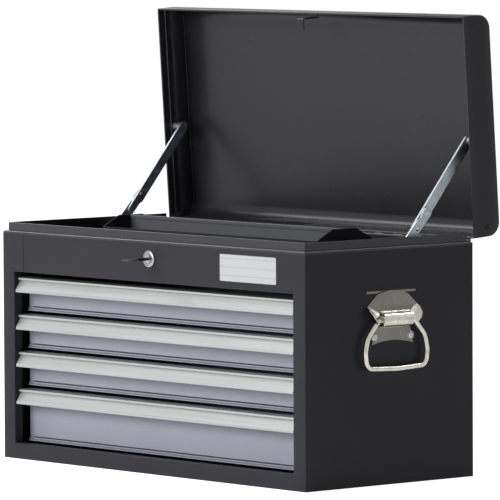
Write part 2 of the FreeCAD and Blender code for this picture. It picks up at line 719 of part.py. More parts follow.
def bar_guides():
    # Two straps on the back panel hold the bar and let it slide up and down.
    body = new_body("lock_bar_guides")
    inner_left = bar_left - s.bar_slack
    inner_right = bar_right + s.bar_slack
    bridge = bar_front - s.bar_slack
    outer = bridge - s.guide_sheet
    places = {"lower": s.bar_foot_rise + s.lower_guide_rise,
              "upper": finger_tip(0) - s.upper_guide_drop - s.guide_height}
    for place, low in places.items():
        add(body, place, "XY", low, low + s.guide_height, loops=[[
            (inner_left - s.guide_sheet - s.guide_wing, inner_back - s.guide_sheet),
            (inner_left - s.guide_sheet, inner_back - s.guide_sheet),
            (inner_left - s.guide_sheet, outer), (inner_right + s.guide_sheet, outer),
            (inner_right + s.guide_sheet, inner_back - s.guide_sheet),
            (inner_right + s.guide_sheet + s.guide_wing, inner_back - s.guide_sheet),
            (inner_right + s.guide_sheet + s.guide_wing, inner_back), (inner_right, inner_back),
            (inner_right, bridge), (inner_left, bridge), (inner_left, inner_back),
            (inner_left - s.guide_sheet - s.guide_wing, inner_back)]])


# Lid, shaped shut and turned open about the hinge


lid_bottom = s.shoulder_height + s.lid_gap
lid_top = s.shoulder_height + s.lid_depth


def lid_shell():
    # Shallow pan with big bends front and back, flat ends and its open edge folded in.
    body = new_body("lid_shell")
    radius = s.lid_radius
    inner = s.lid_radius - s.sheet
    add(body, "outside", "YZ", -half_width, half_width, loops=[[
        (back, lid_bottom), (back, lid_top - radius, radius), (back - radius, lid_top),
        (front + radius, lid_top, radius), (front, lid_top - radius), (front, lid_bottom)]])
    hem_top = s.shoulder_height + s.lid_hem_height
    cut(body, "inside", "YZ", -inner_side, inner_side, loops=[[
        (inner_back, hem_top), (inner_back, lid_top - radius, inner), (back - radius, lid_top - s.sheet),
        (front + radius, lid_top - s.sheet, inner), (inner_front, lid_top - radius),
        (inner_front, hem_top)]])
    hem_side = inner_side - s.sheet
    cut(body, "mouth", "XY", lid_bottom - overrun, hem_top, loops=[
        box(-hem_side, hem_side, inner_front + s.sheet, inner_back)])
    slot_middle = s.shoulder_height + s.lid_slot_rise
    cut(body, "slot", "XZ", inner_back - overrun, back + overrun, loops=[box(
        s.bar_place - s.lid_slot_length / 2, s.bar_place + s.lid_slot_length / 2,
        slot_middle - s.lid_slot_height / 2, slot_middle + s.lid_slot_height / 2)])
    swing_open(body)


def lid_catch():
    # Strap from the lid's front wall over the upstand, with a hook that the lock's cam holds.
    body = new_body("lid_catch")
    over = rim_top + s.catch_rim_gap
    behind = front + s.rim_inset + s.rim_sheet + s.catch_rim_gap
    hook = s.shoulder_height - s.catch_drop
    half = s.catch_width / 2
    plate = s.catch_sheet
    add(body, "strap", "YZ", -half, half, loops=[[
        (inner_front, over), (behind + plate, over), (behind + plate, over + plate),
        (inner_front + plate, over + plate), (inner_front + plate, over + s.catch_tab_height),
        (inner_front, over + s.catch_tab_height)]])
    hook_half = s.catch_hook_width / 2
    add(body, "hook", "YZ", -hook_half, hook_half, loops=[[
        (behind, over), (behind, hook), (behind + s.catch_hook_reach, hook),
        (behind + s.catch_hook_reach, hook + plate), (behind + plate, hook + plate),
        (behind + plate, over)]])
    swing_open(body)


knuckle_pitch = (s.case_width - s.hinge_end_gap * 2) / (KNUCKLE_PAIRS * 2)
hinge_left = s.hinge_end_gap - half_width


def hinge_leaf(name, first, low, high, web_low, web_high):
    # A leaf on the back face with every other knuckle rolled round the pin.
    body = new_body(name)
    add(body, "leaf", "XZ", back, back + s.leaf_sheet, loops=[
        box(hinge_left, -hinge_left, low, high)])
    start = hinge_left + knuckle_pitch * first + s.knuckle_play / 2
    end = start + knuckle_pitch - s.knuckle_play
    web = add(body, "web", "YZ", start, end, loops=[
        box(back, hinge_y - s.hinge_pin_radius, web_low, web_high)])
    knuckle = add(body, "knuckle", "YZ", start, end, rings=[((hinge_y, hinge_z), s.knuckle_radius)])
    pattern = body.newObject("PartDesign::LinearPattern", f"{name}_knuckles")
    pattern.Originals = [web, knuckle]
    pattern.Direction = (plane_of(body, "YZ"), [""])
    pattern.Mode = "Spacing"
    bind(pattern, "Offset", knuckle_pitch * 2)
    pattern.Occurrences = KNUCKLE_PAIRS
    body.Tip = pattern
    doc.recompute()
    cut(body, "bore", "YZ", hinge_left - overrun, -hinge_left + overrun, rings=[
        ((hinge_y, hinge_z), s.hinge_pin_radius + s.pin_play)])
    return body


def piano_hinge():
    gap = s.lid_gap
    hinge_leaf("hinge_case_leaf", 0, s.shoulder_height - s.leaf_height, s.shoulder_height - gap,
               s.shoulder_height - s.knuckle_radius, s.shoulder_height)
    lid_leaf = hinge_leaf("hinge_lid_leaf", 1, lid_bottom, s.shoulder_height + s.leaf_height,
                          s.shoulder_height, s.shoulder_height + s.knuckle_radius)
    swing_open(lid_leaf)
    pin = new_body("hinge_pin")
    add(pin, "wire", "YZ", hinge_left, -hinge_left, rings=[((hinge_y, hinge_z), s.hinge_pin_radius)])


# Stays. Each arm lies along Y from its lower pivot and is then turned up to its angle.


case_pivot_y = hinge_y - s.stay_pivot_ahead
case_pivot_z = s.shoulder_height - s.stay_pivot_drop
elbow_y = case_pivot_y + s.lower_arm_length * cosine(s.lower_arm_angle)
elbow_z = case_pivot_z + s.lower_arm_length * sine(s.lower_arm_angle)
lid_pivot_y = elbow_y + s.upper_arm_length * cosine(s.upper_arm_angle)
lid_pivot_z = elbow_z + s.upper_arm_length * sine(s.upper_arm_angle)
lower_plane = half_width - s.stay_inset - s.stay_sheet
upper_plane = lower_plane - s.stay_gap - s.stay_sheet


def lean(body, y, z, angle):
    body.Placement = FreeCAD.Placement(V(0, y.value, z.value), FreeCAD.Rotation(V(1, 0, 0), angle.value))
    bind(body, "Placement.Base.y", y)
    bind(body, "Placement.Base.z", z)
    bind(body, "Placement.Rotation.Angle", angle)


def lower_arm():
    # Bar from the case pivot to the elbow, with a thumb notch in its front edge.
    body = new_body("right_stay_lower_arm")
    half = s.stay_width / 2
    length = s.lower_arm_length
    notch = length - s.stay_stop_distance / 2
    add(body, "bar", "YZ", lower_plane, lower_plane + s.stay_sheet, loops=[[
        (0, -half), (length, -half), (length, half), (notch + half, half),
        (notch + s.stay_notch, half - s.stay_notch), (notch - s.stay_notch, half - s.stay_notch),
        (notch - half, half), (0, half)]])
    add(body, "round_ends", "YZ", lower_plane, lower_plane + s.stay_sheet, rings=[
        ((0, 0), half), ((length, 0), half)])
    cut(body, "holes", "YZ", lower_plane, lower_plane + s.stay_sheet, rings=[
        ((0, 0), s.stay_rivet_radius + s.pin_play), ((length, 0), s.stay_rivet_radius + s.pin_play),
        ((length - s.stay_stop_distance, 0), s.stay_rivet_radius + s.pin_play)])
    lean(body, case_pivot_y, case_pivot_z, s.lower_arm_angle)
    mirrored(body, "left_stay_lower_arm")


def upper_arm():
    # Bar from the elbow to the lid, with a tail whose hook comes down on the stop rivet.
    body = new_body("right_stay_upper_arm")
    half = s.stay_width / 2
    length = s.upper_arm_length
    fold = s.upper_arm_angle - s.lower_arm_angle
    stop_y = -s.stay_stop_distance * cosine(fold)
    stop_z = s.stay_stop_distance * sine(fold)
    seat = s.stay_rivet_radius + s.stay_gap
    add(body, "bar", "YZ", upper_plane, upper_plane + s.stay_sheet, loops=[[
        (length, -half), (length, half), (-s.stay_tail, half), (-s.stay_tail, stop_z - seat),
        (stop_y - seat, stop_z - seat), (stop_y - seat, stop_z),
        (stop_y + seat, stop_z), (stop_y + seat, -half)]])
    add(body, "round_end", "YZ", upper_plane, upper_plane + s.stay_sheet, rings=[((length, 0), half)])
    cut(body, "seat", "YZ", upper_plane, upper_plane + s.stay_sheet, rings=[((stop_y, stop_z), seat)])
    cut(body, "holes", "YZ", upper_plane, upper_plane + s.stay_sheet, rings=[
        ((0, 0), s.stay_rivet_radius + s.pin_play), ((length, 0), s.stay_rivet_radius + s.pin_play)])
    lean(body, elbow_y, elbow_z, s.upper_arm_angle)
    mirrored(body, "left_stay_upper_arm")


def arm_rivets():
    # Elbow rivet through both arms and stop rivet beside it.
    body = new_body("right_stay_rivets")
    low = upper_plane - s.stay_gap - s.stay_head_height
    high = lower_plane + s.stay_sheet
    stop = -s.stay_stop_distance
    centres = ((0, 0), (stop, 0))
    add(body, "shanks", "YZ", low, high + s.stay_head_height, rings=[
        (centre, s.stay_rivet_radius) for centre in centres])
    add(body, "outer_heads", "YZ", high, high + s.stay_head_height, rings=[
        (centre, s.stay_head_radius) for centre in centres])
    add(body, "inner_head", "YZ", low, low + s.stay_head_height, rings=[
        (centres[0], s.stay_head_radius)])
    cut(body, "stop_end", "YZ", low - overrun, upper_plane, rings=[(centres[1], s.stay_head_radius)])
    lean(body, elbow_y, elbow_z, s.lower_arm_angle)
    mirrored(body, "left_stay_rivets")


def lid_rivet():
    # Rivet head and shank that the upper arm carries at the lid end.
    body = new_body("right_stay_lid_rivet")
    low = upper_plane - s.stay_head_height
    add(body, "shank", "YZ", low, upper_plane + s.stay_sheet, rings=[
        ((lid_pivot_y, lid_pivot_z), s.stay_rivet_radius)])
    add(body, "head", "YZ", low, upper_plane, rings=[((lid_pivot_y, lid_pivot_z), s.stay_head_radius)])
    mirrored(body, "left_stay_lid_rivet")


def stay_studs():
    # Spacers on the case walls with the lower pivots, and spacers on the lid walls.
    case_studs = new_body("stay_case_studs")
    place = (case_pivot_y, case_pivot_z)
    arm_face = lower_plane + s.stay_sheet + s.stay_gap
    pin_end = lower_plane - s.stay_gap - s.stay_head_height
    add(case_studs, "right", "YZ", arm_face, inner_side, rings=[(place, s.stay_stud_radius)])
    add(case_studs, "right_pin", "YZ", pin_end, inner_side, rings=[(place, s.stay_rivet_radius)])
    add(case_studs, "right_head", "YZ", pin_end, pin_end + s.stay_head_height, rings=[
        (place, s.stay_head_radius)])
    add(case_studs, "left", "YZ", -inner_side, -arm_face, rings=[(place, s.stay_stud_radius)])
    add(case_studs, "left_pin", "YZ", -inner_side, -pin_end, rings=[(place, s.stay_rivet_radius)])
    add(case_studs, "left_head", "YZ", -pin_end - s.stay_head_height, -pin_end, rings=[
        (place, s.stay_head_radius)])
    lid_studs = new_body("stay_lid_studs")
    place = (lid_pivot_y, lid_pivot_z)
    arm_face = upper_plane + s.stay_sheet + s.stay_gap
    add(lid_studs, "right", "YZ", arm_face, inner_side, rings=[(place, s.stay_stud_radius)])
    add(lid_studs, "left", "YZ", -inner_side, -arm_face, rings=[(place, s.stay_stud_radius)])


# Lock


def lock_housing():
    # Rosette on the front and a threaded barrel through the panel.
    body = new_body("lock_housing")
    centre = (0, lock_height)
    nose = front - s.rosette_thickness
    add(body, "rosette", "XZ", nose, front, rings=[(centre, s.rosette_radius)])
    round_edges(body, "rosette_edge", s.rosette_bevel, lambda edge: (
        abs(edge.CenterOfMass.y - nose.value) < s.pin_play.value))
    add(body, "barrel", "XZ", front, front + s.barrel_length, rings=[(centre, s.barrel_radius)])
    cut(body, "bore", "XZ", nose - overrun, front + s.barrel_length + overrun, rings=[
        (centre, s.plug_radius + s.pin_play)])


def lock_plug():
    # Turning plug with its keyway level.
    body = new_body("lock_plug")
    nose = front - s.rosette_thickness - s.plug_nose
    end = front + s.barrel_length + s.stay_gap
    add(body, "plug", "XZ", nose, end, rings=[((0, lock_height), s.plug_radius)])
    half_way = s.key_blade_width / 2 + s.key_play
    half_high = s.key_thickness / 2 + s.key_play
    cut(body, "keyway", "XZ", nose - overrun, front + s.key_blade_length + s.key_play, loops=[
        box(-half_way, half_way, lock_height - half_high, lock_height + half_high)])


def lock_nut():
    # Six-sided nut that clamps the housing to the panel.
    body = new_body("lock_nut")
    corners = []
    for corner in range(NUT_SIDES):
        share = math.cos(math.pi * 2 * corner / NUT_SIDES), math.sin(math.pi * 2 * corner / NUT_SIDES)
        corners.append((s.nut_radius * share[0], lock_height + s.nut_radius * share[1]))
    add(body, "nut", "XZ", inner_front, inner_front + s.nut_thickness, loops=[corners], rings=[
        ((0, lock_height), s.barrel_radius + s.pin_play)])


def polar(radius, angle, *bend):
    return radius * cosine(angle), lock_height + radius * sine(angle), *bend


def lock_cam():
    # Hub on the plug's end and a curved finger that passes over the catch's hook when it turns.
    body = new_body("lock_cam")
    low = front + s.barrel_length + s.stay_gap
    high = low + s.cam_sheet
    hook_top = lock_drop_to_hook + s.catch_sheet
    diagonal = math.hypot(hook_top.value, s.catch_hook_width.value / 2)
    reach = Size(diagonal, f"sqrt(({hook_top.text})^2 + (Sizes.catch_hook_width / 2)^2)") + s.cam_gap
    outer = reach + s.cam_finger_width
    add(body, "hub", "XZ", low, high, rings=[((0, lock_height), s.cam_hub_radius)])
    root = s.cam_hub_radius - s.cam_gap
    start = s.cam_finger_start
    near = s.cam_arm_start
    far = s.cam_arm_end
    finger = [polar(reach, start), polar(outer, start, outer), polar(outer, far),
              polar(root, far), polar(root, near), polar(reach, near, -reach)]
    add(body, "finger", "XZ", low, high, loops=[finger])


def key():
    # Flat key: blade in the plug, shoulders at the plug's face and a round bow with a hole.
    body = new_body("key")
    low = lock_height - s.key_thickness / 2
    high = lock_height + s.key_thickness / 2
    half = s.key_blade_width / 2
    bow_y = front - s.key_reach + s.key_bow_radius
    add(body, "blade", "XY", low, high, loops=[
        box(-half, half, bow_y, front + s.key_blade_length)])
    add(body, "bow", "XY", low, high, rings=[((0, bow_y), s.key_bow_radius)])
    cut(body, "hole", "XY", low - overrun, high, rings=[
        ((0, bow_y - s.key_bow_radius / 2), s.key_hole_radius)])


# Side handles


barrel_x = half_width + s.grip_barrel_gap + s.grip_barrel_radius
barrel_z = s.grip_top - s.grip_barrel_drop


def chord_radius(half_chord, rise):
    # Radius of the arc over a chord with a given rise at its middle.
    return (half_chord * half_chord + rise * rise) / (rise * 2)


def handle_plate():
    # Plate riveted to the side with a rolled barrel across it. Ears flare out beside the barrel.
    body = new_body("right_handle_plate")
    middle = grip_centre
    top_radius = chord_radius(s.grip_shoulder_half, s.grip_shoulder_drop)
    foot_radius = chord_radius(s.grip_foot_half, s.grip_arch)
    shoulder = s.grip_top - s.grip_shoulder_drop
    ear = s.grip_top - s.grip_ear_drop
    neck = s.grip_top - s.grip_neck_drop
    flare = s.grip_top - s.grip_flare_drop
    foot = s.grip_top - s.grip_foot_drop
    add(body, "plate", "YZ", half_width, half_width + s.grip_sheet, loops=[[
        (middle + s.grip_foot_half, foot), (middle + s.grip_neck_half, flare),
        (middle + s.grip_neck_half, neck), (middle + s.grip_ear_half, ear),
        (middle + s.grip_shoulder_half, shoulder, top_radius),
        (middle - s.grip_shoulder_half, shoulder), (middle - s.grip_ear_half, ear),
        (middle - s.grip_neck_half, neck), (middle - s.grip_neck_half, flare),
        (middle - s.grip_foot_half, foot, -foot_radius)]])
    rivet_height = s.grip_top - s.rivet_drop
    cut(body, "rivet_holes", "YZ", half_width - overrun, half_width + s.grip_sheet, rings=[
        ((middle - s.rivet_spacing / 2, rivet_height), s.rivet_radius + s.pin_play),
        ((middle + s.rivet_spacing / 2, rivet_height), s.rivet_radius + s.pin_play)])
    low = middle - s.grip_barrel_half
    high = middle + s.grip_barrel_half
    centre = (barrel_x, barrel_z)
    add(body, "barrel", "XZ", low, high, rings=[(centre, s.grip_barrel_radius)])
    core = s.grip_barrel_radius - s.grip_sheet
    cut(body, "core", "XZ", low + s.grip_collar, high - s.grip_collar, rings=[(centre, core)])
    cut(body, "bore", "XZ", low - overrun, high + overrun, rings=[(centre, s.bail_radius + s.pin_play)])
    mirrored(body, "left_handle_plate")


def bail():
    # Wire bail. Its ends turn in the barrel, its legs slant out and curve down to a bowed grip.
    body = new_body("right_bail")
    middle = grip_centre
    tail = s.grip_barrel_half - s.bail_tail
    leg = s.grip_barrel_half + s.bail_leg_out
    path = body.newObject("Sketcher::SketchObject", "right_bail_path")
    path.AttachmentSupport = [(plane_of(body, "YZ"), "")]
    path.MapMode = "FlatFace"
    bind(path, "AttachmentOffset.Base.z", barrel_x)
    half = [(tail, barrel_z), (leg, barrel_z), (s.bail_leg_half, barrel_z - s.bail_leg_drop),
            (s.bail_half, barrel_z - s.bail_wide_drop),
            (s.bail_corner_half, barrel_z - s.bail_corner_drop)]
    places = [(middle - y, z) for y, z in half] + [(middle, barrel_z - s.bail_drop)]
    places += [(middle + y, z) for y, z in half[::-1]]
    bends = (s.bail_elbow, s.bail_side_bend, s.bail_side_bend, s.bail_corner)
    trace(path, rounded(places, (*bends, s.bail_grip_bend, *bends[::-1])), closed=False)
    wire = draw(body, "wire", "XZ", middle - tail, rings=[((barrel_x, barrel_z), s.bail_radius)])
    pipe = body.newObject("PartDesign::AdditivePipe", "right_bail_pipe")
    pipe.Profile = wire
    pipe.Spine = (path, [f"Edge{number + 1}" for number in range(path.GeometryCount)])
    doc.recompute()
    mirrored(body, "left_bail")


def length_of(y, z):
    return Size(math.hypot(y.value, z.value), f"sqrt({y.text}^2 + {z.text}^2)")


def rounded(places, bends):
    # Cut each inner corner of an open run back to its tangent points and put an arc between them.
    corners = [places[0]]
    for before, here, after, radius in zip(places, places[1:], places[2:], bends):
        into = (here[0] - before[0], here[1] - before[1])
        out = (after[0] - here[0], after[1] - here[1])
        into_length = length_of(*into)
        out_length = length_of(*out)
        into = (into[0] / into_length, into[1] / into_length)
        out = (out[0] / out_length, out[1] / out_length)
        cross = into[0] * out[1] - into[1] * out[0]
        dot = into[0] * out[0] + into[1] * out[1]
        turn = cross if cross.value > 0 else -cross
        back_off = radius * turn / (dot + 1)
        corners.append((here[0] - into[0] * back_off, here[1] - into[1] * back_off,
                        radius if cross.value > 0 else -radius))
        corners.append((here[0] + out[0] * back_off, here[1] + out[1] * back_off))
    corners.append(places[-1])
    return corners


def handle_rivets():
    # Four rivets: shank through plate and panel with a head on each side.
    body = new_body("handle_rivets")
    height = s.grip_top - s.rivet_drop
    outside = half_width + s.grip_sheet
    tip = outside + s.rivet_head_height
    inside = inner_side - s.rivet_head_height
    centres = [(grip_centre - s.rivet_spacing / 2, height), (grip_centre + s.rivet_spacing / 2, height)]
    shanks = [(centre, s.rivet_radius) for centre in centres]
    heads = [(centre, s.rivet_head_radius) for centre in centres]
    for side in (1, -1):
        name = "right" if side > 0 else "left"
        for part, low, high, rings in (
                ("shanks", inside, tip, shanks), ("heads", outside, tip, heads),
                ("tails", inside, inner_side, heads)):
            span = (low, high) if side > 0 else (-high, -low)
            add(body, f"{name}_{part}", "YZ", *span, rings=rings)


# Lift-out tray


def tote_tray():
    # Pan with low long walls and end walls that rise to the carrying plate.
    body = new_body("tote_tray")
    half_length = half_width - s.tray_end_gap
    low = s.tray_centre - s.tray_width / 2
    high = s.tray_centre + s.tray_width / 2
    wall = floor_top + s.tray_wall_height
    top = floor_top + s.tray_end_height
    crown = s.tray_end_top / 2
    add(body, "block", "YZ", -half_length, half_length, loops=[[
        (low, floor_top), (high, floor_top), (high, wall), (s.tray_centre + crown, top),
        (s.tray_centre - crown, top), (low, wall)]])
    inner = half_length - s.tray_sheet
    cut(body, "hollow", "YZ", -inner, inner, loops=[box(
        low + s.tray_sheet, high - s.tray_sheet, floor_top + s.tray_sheet, top + overrun)])
    cut(body, "long_walls", "YZ", -inner, inner, loops=[box(
        low - overrun, high + overrun, wall, top + overrun)])


def tray_plate():
    # Carrying plate along the middle of the tray, hemmed along its top, with a hand slot.
    body = new_body("tray_carrying_plate")
    inner = half_width - s.tray_end_gap - s.tray_sheet
    low = floor_top + s.tray_sheet
    top = floor_top + s.tray_end_height
    half = s.tray_sheet / 2
    hem = s.tray_hem / 2
    hem_low = top - s.tray_hem_height
    middle = s.tray_centre
    add(body, "plate", "YZ", -inner, inner, loops=[[
        (middle - half, low), (middle + half, low), (middle + half, hem_low), (middle + hem, hem_low),
        (middle + hem, top), (middle - hem, top), (middle - hem, hem_low), (middle - half, hem_low)]])
    slot_top = top - s.tray_slot_drop
    slot_half = s.tray_slot_length / 2
    cut(body, "hand_slot", "XZ", middle - hem, middle + hem, loops=[
        box(-slot_half, slot_half, slot_top - s.tray_slot_height, slot_top)])


def build():
    side_panels()
    back_and_bottom_panel()
    front_frame()
    top_front_panel()
    compartment_floor()
    top_rim()
    slide_posts()
    label_plate()
    drawers()
    lock_bar()
    bar_guides()
    lid_shell()
    lid_catch()
    piano_hinge()
    lower_arm()
    upper_arm()
    arm_rivets()
    lid_rivet()
    stay_studs()
    lock_housing()
    lock_plug()
    lock_nut()
    lock_cam()
    key()
    handle_plate()
    bail()
    handle_rivets()
    tote_tray()
    tray_plate()


def check():
    doc.recompute()
    for thing in doc.Objects:
        if "Invalid" in thing.State or "Error" in thing.State:
            raise ValueError(f"{thing.Name} is in state {thing.State}")
    for name, thing in subparts.items():
        if thing.Shape.isNull() or not thing.Shape.isValid() or not thing.Shape.Solids:
            raise ValueError(f"{name} has no valid shape")


def export():
    os.makedirs("parts", exist_ok=True)
    for name, thing in subparts.items():
        thing.Shape.exportStep(os.path.join("parts", f"{name}.step"))
        size = thing.Shape.BoundBox
        print(f"{name}: {len(thing.Shape.Solids)} solids, {thing.Shape.Volume / 1000:.1f} cm3, "
              f"{size.XLength:.1f} x {size.YLength:.1f} x {size.ZLength:.1f}")


build()
check()
export()
print(f"{len(subparts)} sub-parts")
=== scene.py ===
import bmesh
import bpy
import numpy as np
from mathutils import Matrix, Vector


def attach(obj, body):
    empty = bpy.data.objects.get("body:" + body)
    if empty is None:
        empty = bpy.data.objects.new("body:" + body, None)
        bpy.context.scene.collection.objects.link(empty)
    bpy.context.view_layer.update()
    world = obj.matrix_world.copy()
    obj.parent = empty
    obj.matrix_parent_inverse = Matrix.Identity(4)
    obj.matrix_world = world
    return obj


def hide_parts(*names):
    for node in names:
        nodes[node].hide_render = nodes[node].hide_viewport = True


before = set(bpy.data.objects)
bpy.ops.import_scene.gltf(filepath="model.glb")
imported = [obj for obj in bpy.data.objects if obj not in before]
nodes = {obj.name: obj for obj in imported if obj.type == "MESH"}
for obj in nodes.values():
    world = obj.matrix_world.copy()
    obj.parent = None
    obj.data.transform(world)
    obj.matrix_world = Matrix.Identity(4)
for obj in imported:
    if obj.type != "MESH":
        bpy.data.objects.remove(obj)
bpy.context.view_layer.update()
mm = 0.001
mergeWithin = 0.002 * mm

# The chest's main sizes in millimetres: X to the right, Y to the back, Z up from the base.
chest = {
    "side": 330.0, "front": -155.0, "back": 155.0, "sheet": 1.0, "shoulder": 328.0, "rimTop": 339.7,
    "openingSide": 303.6, "openingBottom": 22.3, "openingTop": 269.4, "return": 14.0,
    "cornerBend": 2.5, "edgeBend": 1.3,
}
hinge = {"y": 158.6, "z": 328.0, "open": 86.2}


# Shapes

def gridShell(outer, inner, keep=None):
    # Folded sheet between two grids of points: both faces, and a wall wherever a kept cell has no neighbour.
    rows, columns = outer.shape[:2]
    deep = rows * columns
    index = np.arange(deep).reshape(rows, columns)
    keep = np.ones((rows - 1, columns - 1), bool) if keep is None else keep
    cell = np.stack([index[:-1, :-1], index[:-1, 1:], index[1:, 1:], index[1:, :-1]], -1)
    edged = np.pad(keep, 1)
    beside = (edged[:-2, 1:-1], edged[1:-1, 2:], edged[2:, 1:-1], edged[1:-1, :-2])
    faces = [cell[keep], cell[keep][:, ::-1] + deep]
    for side, neighbour in enumerate(beside):
        a, b = cell[..., side][keep & ~neighbour], cell[..., (side + 1) % 4][keep & ~neighbour]
        faces.append(np.stack([a, b, b + deep, a + deep], -1))
    return np.concatenate([outer.reshape(-1, 3), inner.reshape(-1, 3)]), np.concatenate(faces)


def gridSkin(grid, keep=None):
    # One face of a grid of points, row by row. Edges that meet are merged later.
    rows, columns = grid.shape[:2]
    index = np.arange(rows * columns).reshape(rows, columns)
    cell = np.stack([index[:-1, :-1], index[:-1, 1:], index[1:, 1:], index[1:, :-1]], -1)
    return grid.reshape(-1, 3), cell.reshape(-1, 4) if keep is None else cell[keep]


def bentRun(corners, bends, steps=6):
    # A run of straight lines with an arc of the given radius at each inner corner, and at every point the
    # unit vector to its left (at a sharp corner the mitre), along which a sheet takes its thickness.
    corners = np.array(corners, float)
    ahead = np.diff(corners, axis=0)
    ahead /= np.linalg.norm(ahead, axis=1)[:, None]
    left = np.stack([-ahead[:, 1], ahead[:, 0]], 1)
    places, sides = [corners[:1]], [left[:1]]
    for number, radius in enumerate(bends, 1):
        before, after = left[number - 1], left[number]
        mitre = (before + after) / (1 + before @ after)
        turn = np.arctan2(before[0] * after[1] - before[1] * after[0], before @ after)
        if radius and abs(turn) > 1e-6:
            angles = np.linspace(0, turn, steps + 1)[:, None]
            side = before * np.cos(angles) + np.array([-before[1], before[0]]) * np.sin(angles)
            places.append(corners[number] + np.sign(turn) * radius * (mitre - side))
            sides.append(side)
        else:
            places.append(corners[number:number + 1])
            sides.append(mitre[None])
    return np.concatenate(places + [corners[-1:]]), np.concatenate(sides + [left[-1:]])


def carried(profile, stations, along):
    # A flat profile carried along one axis (0, 1 or 2 for X, Y or Z): a row of points at each station.
    grid = np.zeros((len(stations), len(profile), 3))
    across, up = [axis for axis in range(3) if axis != along]
    grid[..., along] = np.asarray(stations, float)[:, None]
    grid[..., across] = profile[:, 0]
    grid[..., up] = profile[:, 1]
    return grid


def foldedSheet(corners, bends, thick, stations, along, keep=None, steps=6):
    # Sheet folded along a run and carried along an axis, with its thickness to the left of the run.
    run, side = bentRun(corners, bends, steps)
    return gridShell(carried(run, stations, along), carried(run + side * thick, stations, along), keep)


def turnedRing(profile, centre, along, sides=64):
    # A profile of (place along the axis, radius) turned once round that axis.
    profile = np.array(profile, float)
    angle = np.linspace(0, 2 * np.pi, sides + 1)
    grid = np.zeros((len(profile), sides + 1, 3))
    across, up = [axis for axis in range(3) if axis != along]
    grid[..., along] = profile[:, :1] + centre[along]
    grid[..., across] = centre[across] + profile[:, 1:] * np.cos(angle)
    grid[..., up] = centre[up] + profile[:, 1:] * np.sin(angle)
    return gridSkin(grid)


def wireAlong(path, radius, flat, sides=20):
    # A round section with domed ends, carried along a path that lies in a plane: flat is that plane's normal.
    ahead = np.gradient(path, axis=0)
    ahead /= np.linalg.norm(ahead, axis=1)[:, None]
    dome = np.linspace(0, np.pi / 2, 5)[:-1]
    size = np.concatenate([np.sin(dome), np.ones(len(path)), np.sin(dome)[::-1]]) * radius
    shift = np.concatenate([-np.cos(dome), np.zeros(len(path)), np.cos(dome)[::-1]]) * radius * 0.5
    reach = np.pad(np.arange(len(path)), len(dome), mode="edge")
    middle = path[reach] + ahead[reach] * shift[:, None]
    flat = np.array(flat, float)
    beside = np.cross(flat, ahead[reach])
    angle = np.linspace(0, 2 * np.pi, sides + 1)
    spoke = beside[:, None] * np.cos(angle)[None, :, None] + flat * np.sin(angle)[None, :, None]
    return gridSkin(middle[:, None] + spoke * size[:, None, None])


def roundedLoop(left, right, low, high, radius, steps=8):
    # Outline of a rectangle with round corners, the first point once more at its end.
    angle = np.linspace(0, np.pi / 2, steps + 1)
    quarter = np.stack([np.cos(angle), np.sin(angle)], 1) * radius
    turn = np.array([[0, -1], [1, 0]])
    corners = ((right - radius, high - radius), (left + radius, high - radius),
               (left + radius, low + radius), (right - radius, low + radius))
    loop = [np.array(corner) + quarter @ np.linalg.matrix_power(turn.T, number)
            for number, corner in enumerate(corners)]
    return np.concatenate(loop + [loop[0][:1]])


def mirrored(part):
    # The same shape on the other side of the middle.
    points, faces = part
    return points * np.array([-1, 1, 1]), faces


def onSide(side, parts):
    # Parts that are shaped for the right side, mirrored where the left is asked for.
    return parts if side == "right" else [mirrored(part) for part in parts]


def opened(part):
    # Turn a piece that is shaped on the shut lid about the hinge to where the lid stands.
    points, faces = part
    turn = np.radians(hinge["open"])
    y, z = points[:, 1] - hinge["y"], points[:, 2] - hinge["z"]
    return np.stack([points[:, 0], hinge["y"] + y * np.cos(turn) + z * np.sin(turn),
                     hinge["z"] - y * np.sin(turn) + z * np.cos(turn)], 1), faces


def leaned(part, centre, degrees):
    # Turn a piece that lies along +Y from its pivot up to its angle, and move it to the pivot.
    points, faces = part
    turn = np.radians(degrees)
    y, z = points[:, 1], points[:, 2]
    return np.stack([points[:, 0], centre[0] + y * np.cos(turn) - z * np.sin(turn),
                     centre[1] + y * np.sin(turn) + z * np.cos(turn)], 1), faces


def placed(name, data):
    # An object for a mesh, lamp or camera, linked to the scene.
    holder = bpy.data.objects.new(name, data)
    bpy.context.scene.collection.objects.link(holder)
    return holder


def putPiece(name, parts, finish, body, replaced=(), sharp=32.0, wall=0.0, bevel=0.0):
    # Join the parts into one mesh: doubles merged, faces outwards, and edges past the sharp angle kept crisp.
    points, faces, count = [], [], 0
    for part in parts:
        points.append(part[0])
        faces.append(part[1] + count)
        count += len(part[0])
    mesh = bpy.data.meshes.new(name)
    mesh.from_pydata((np.concatenate(points) * mm).tolist(), [], np.concatenate(faces).tolist())
    clean = bmesh.new()
    clean.from_mesh(mesh)
    bmesh.ops.remove_doubles(clean, verts=clean.verts, dist=mergeWithin)
    bmesh.ops.delete(clean, geom=[vert for vert in clean.verts if not vert.link_faces], context="VERTS")
    bmesh.ops.recalc_face_normals(clean, faces=clean.faces)
    clean.to_mesh(mesh)
    clean.free()
    mesh.shade_smooth()
    mesh.set_sharp_from_angle(angle=np.radians(sharp))
    mesh.materials.append(finish)
    piece = placed(name, mesh)
    if wall:
        solid = piece.modifiers.new("wall", "SOLIDIFY")
        solid.thickness, solid.offset, solid.use_even_offset = wall * mm, -1, True
    if bevel:
        edge = piece.modifiers.new("edge", "BEVEL")
        edge.width, edge.segments, edge.limit_method = bevel * mm, 2, "ANGLE"
        edge.angle_limit = np.radians(40)
    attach(piece, body)
    if replaced:
        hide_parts(*replaced)


# Finishes

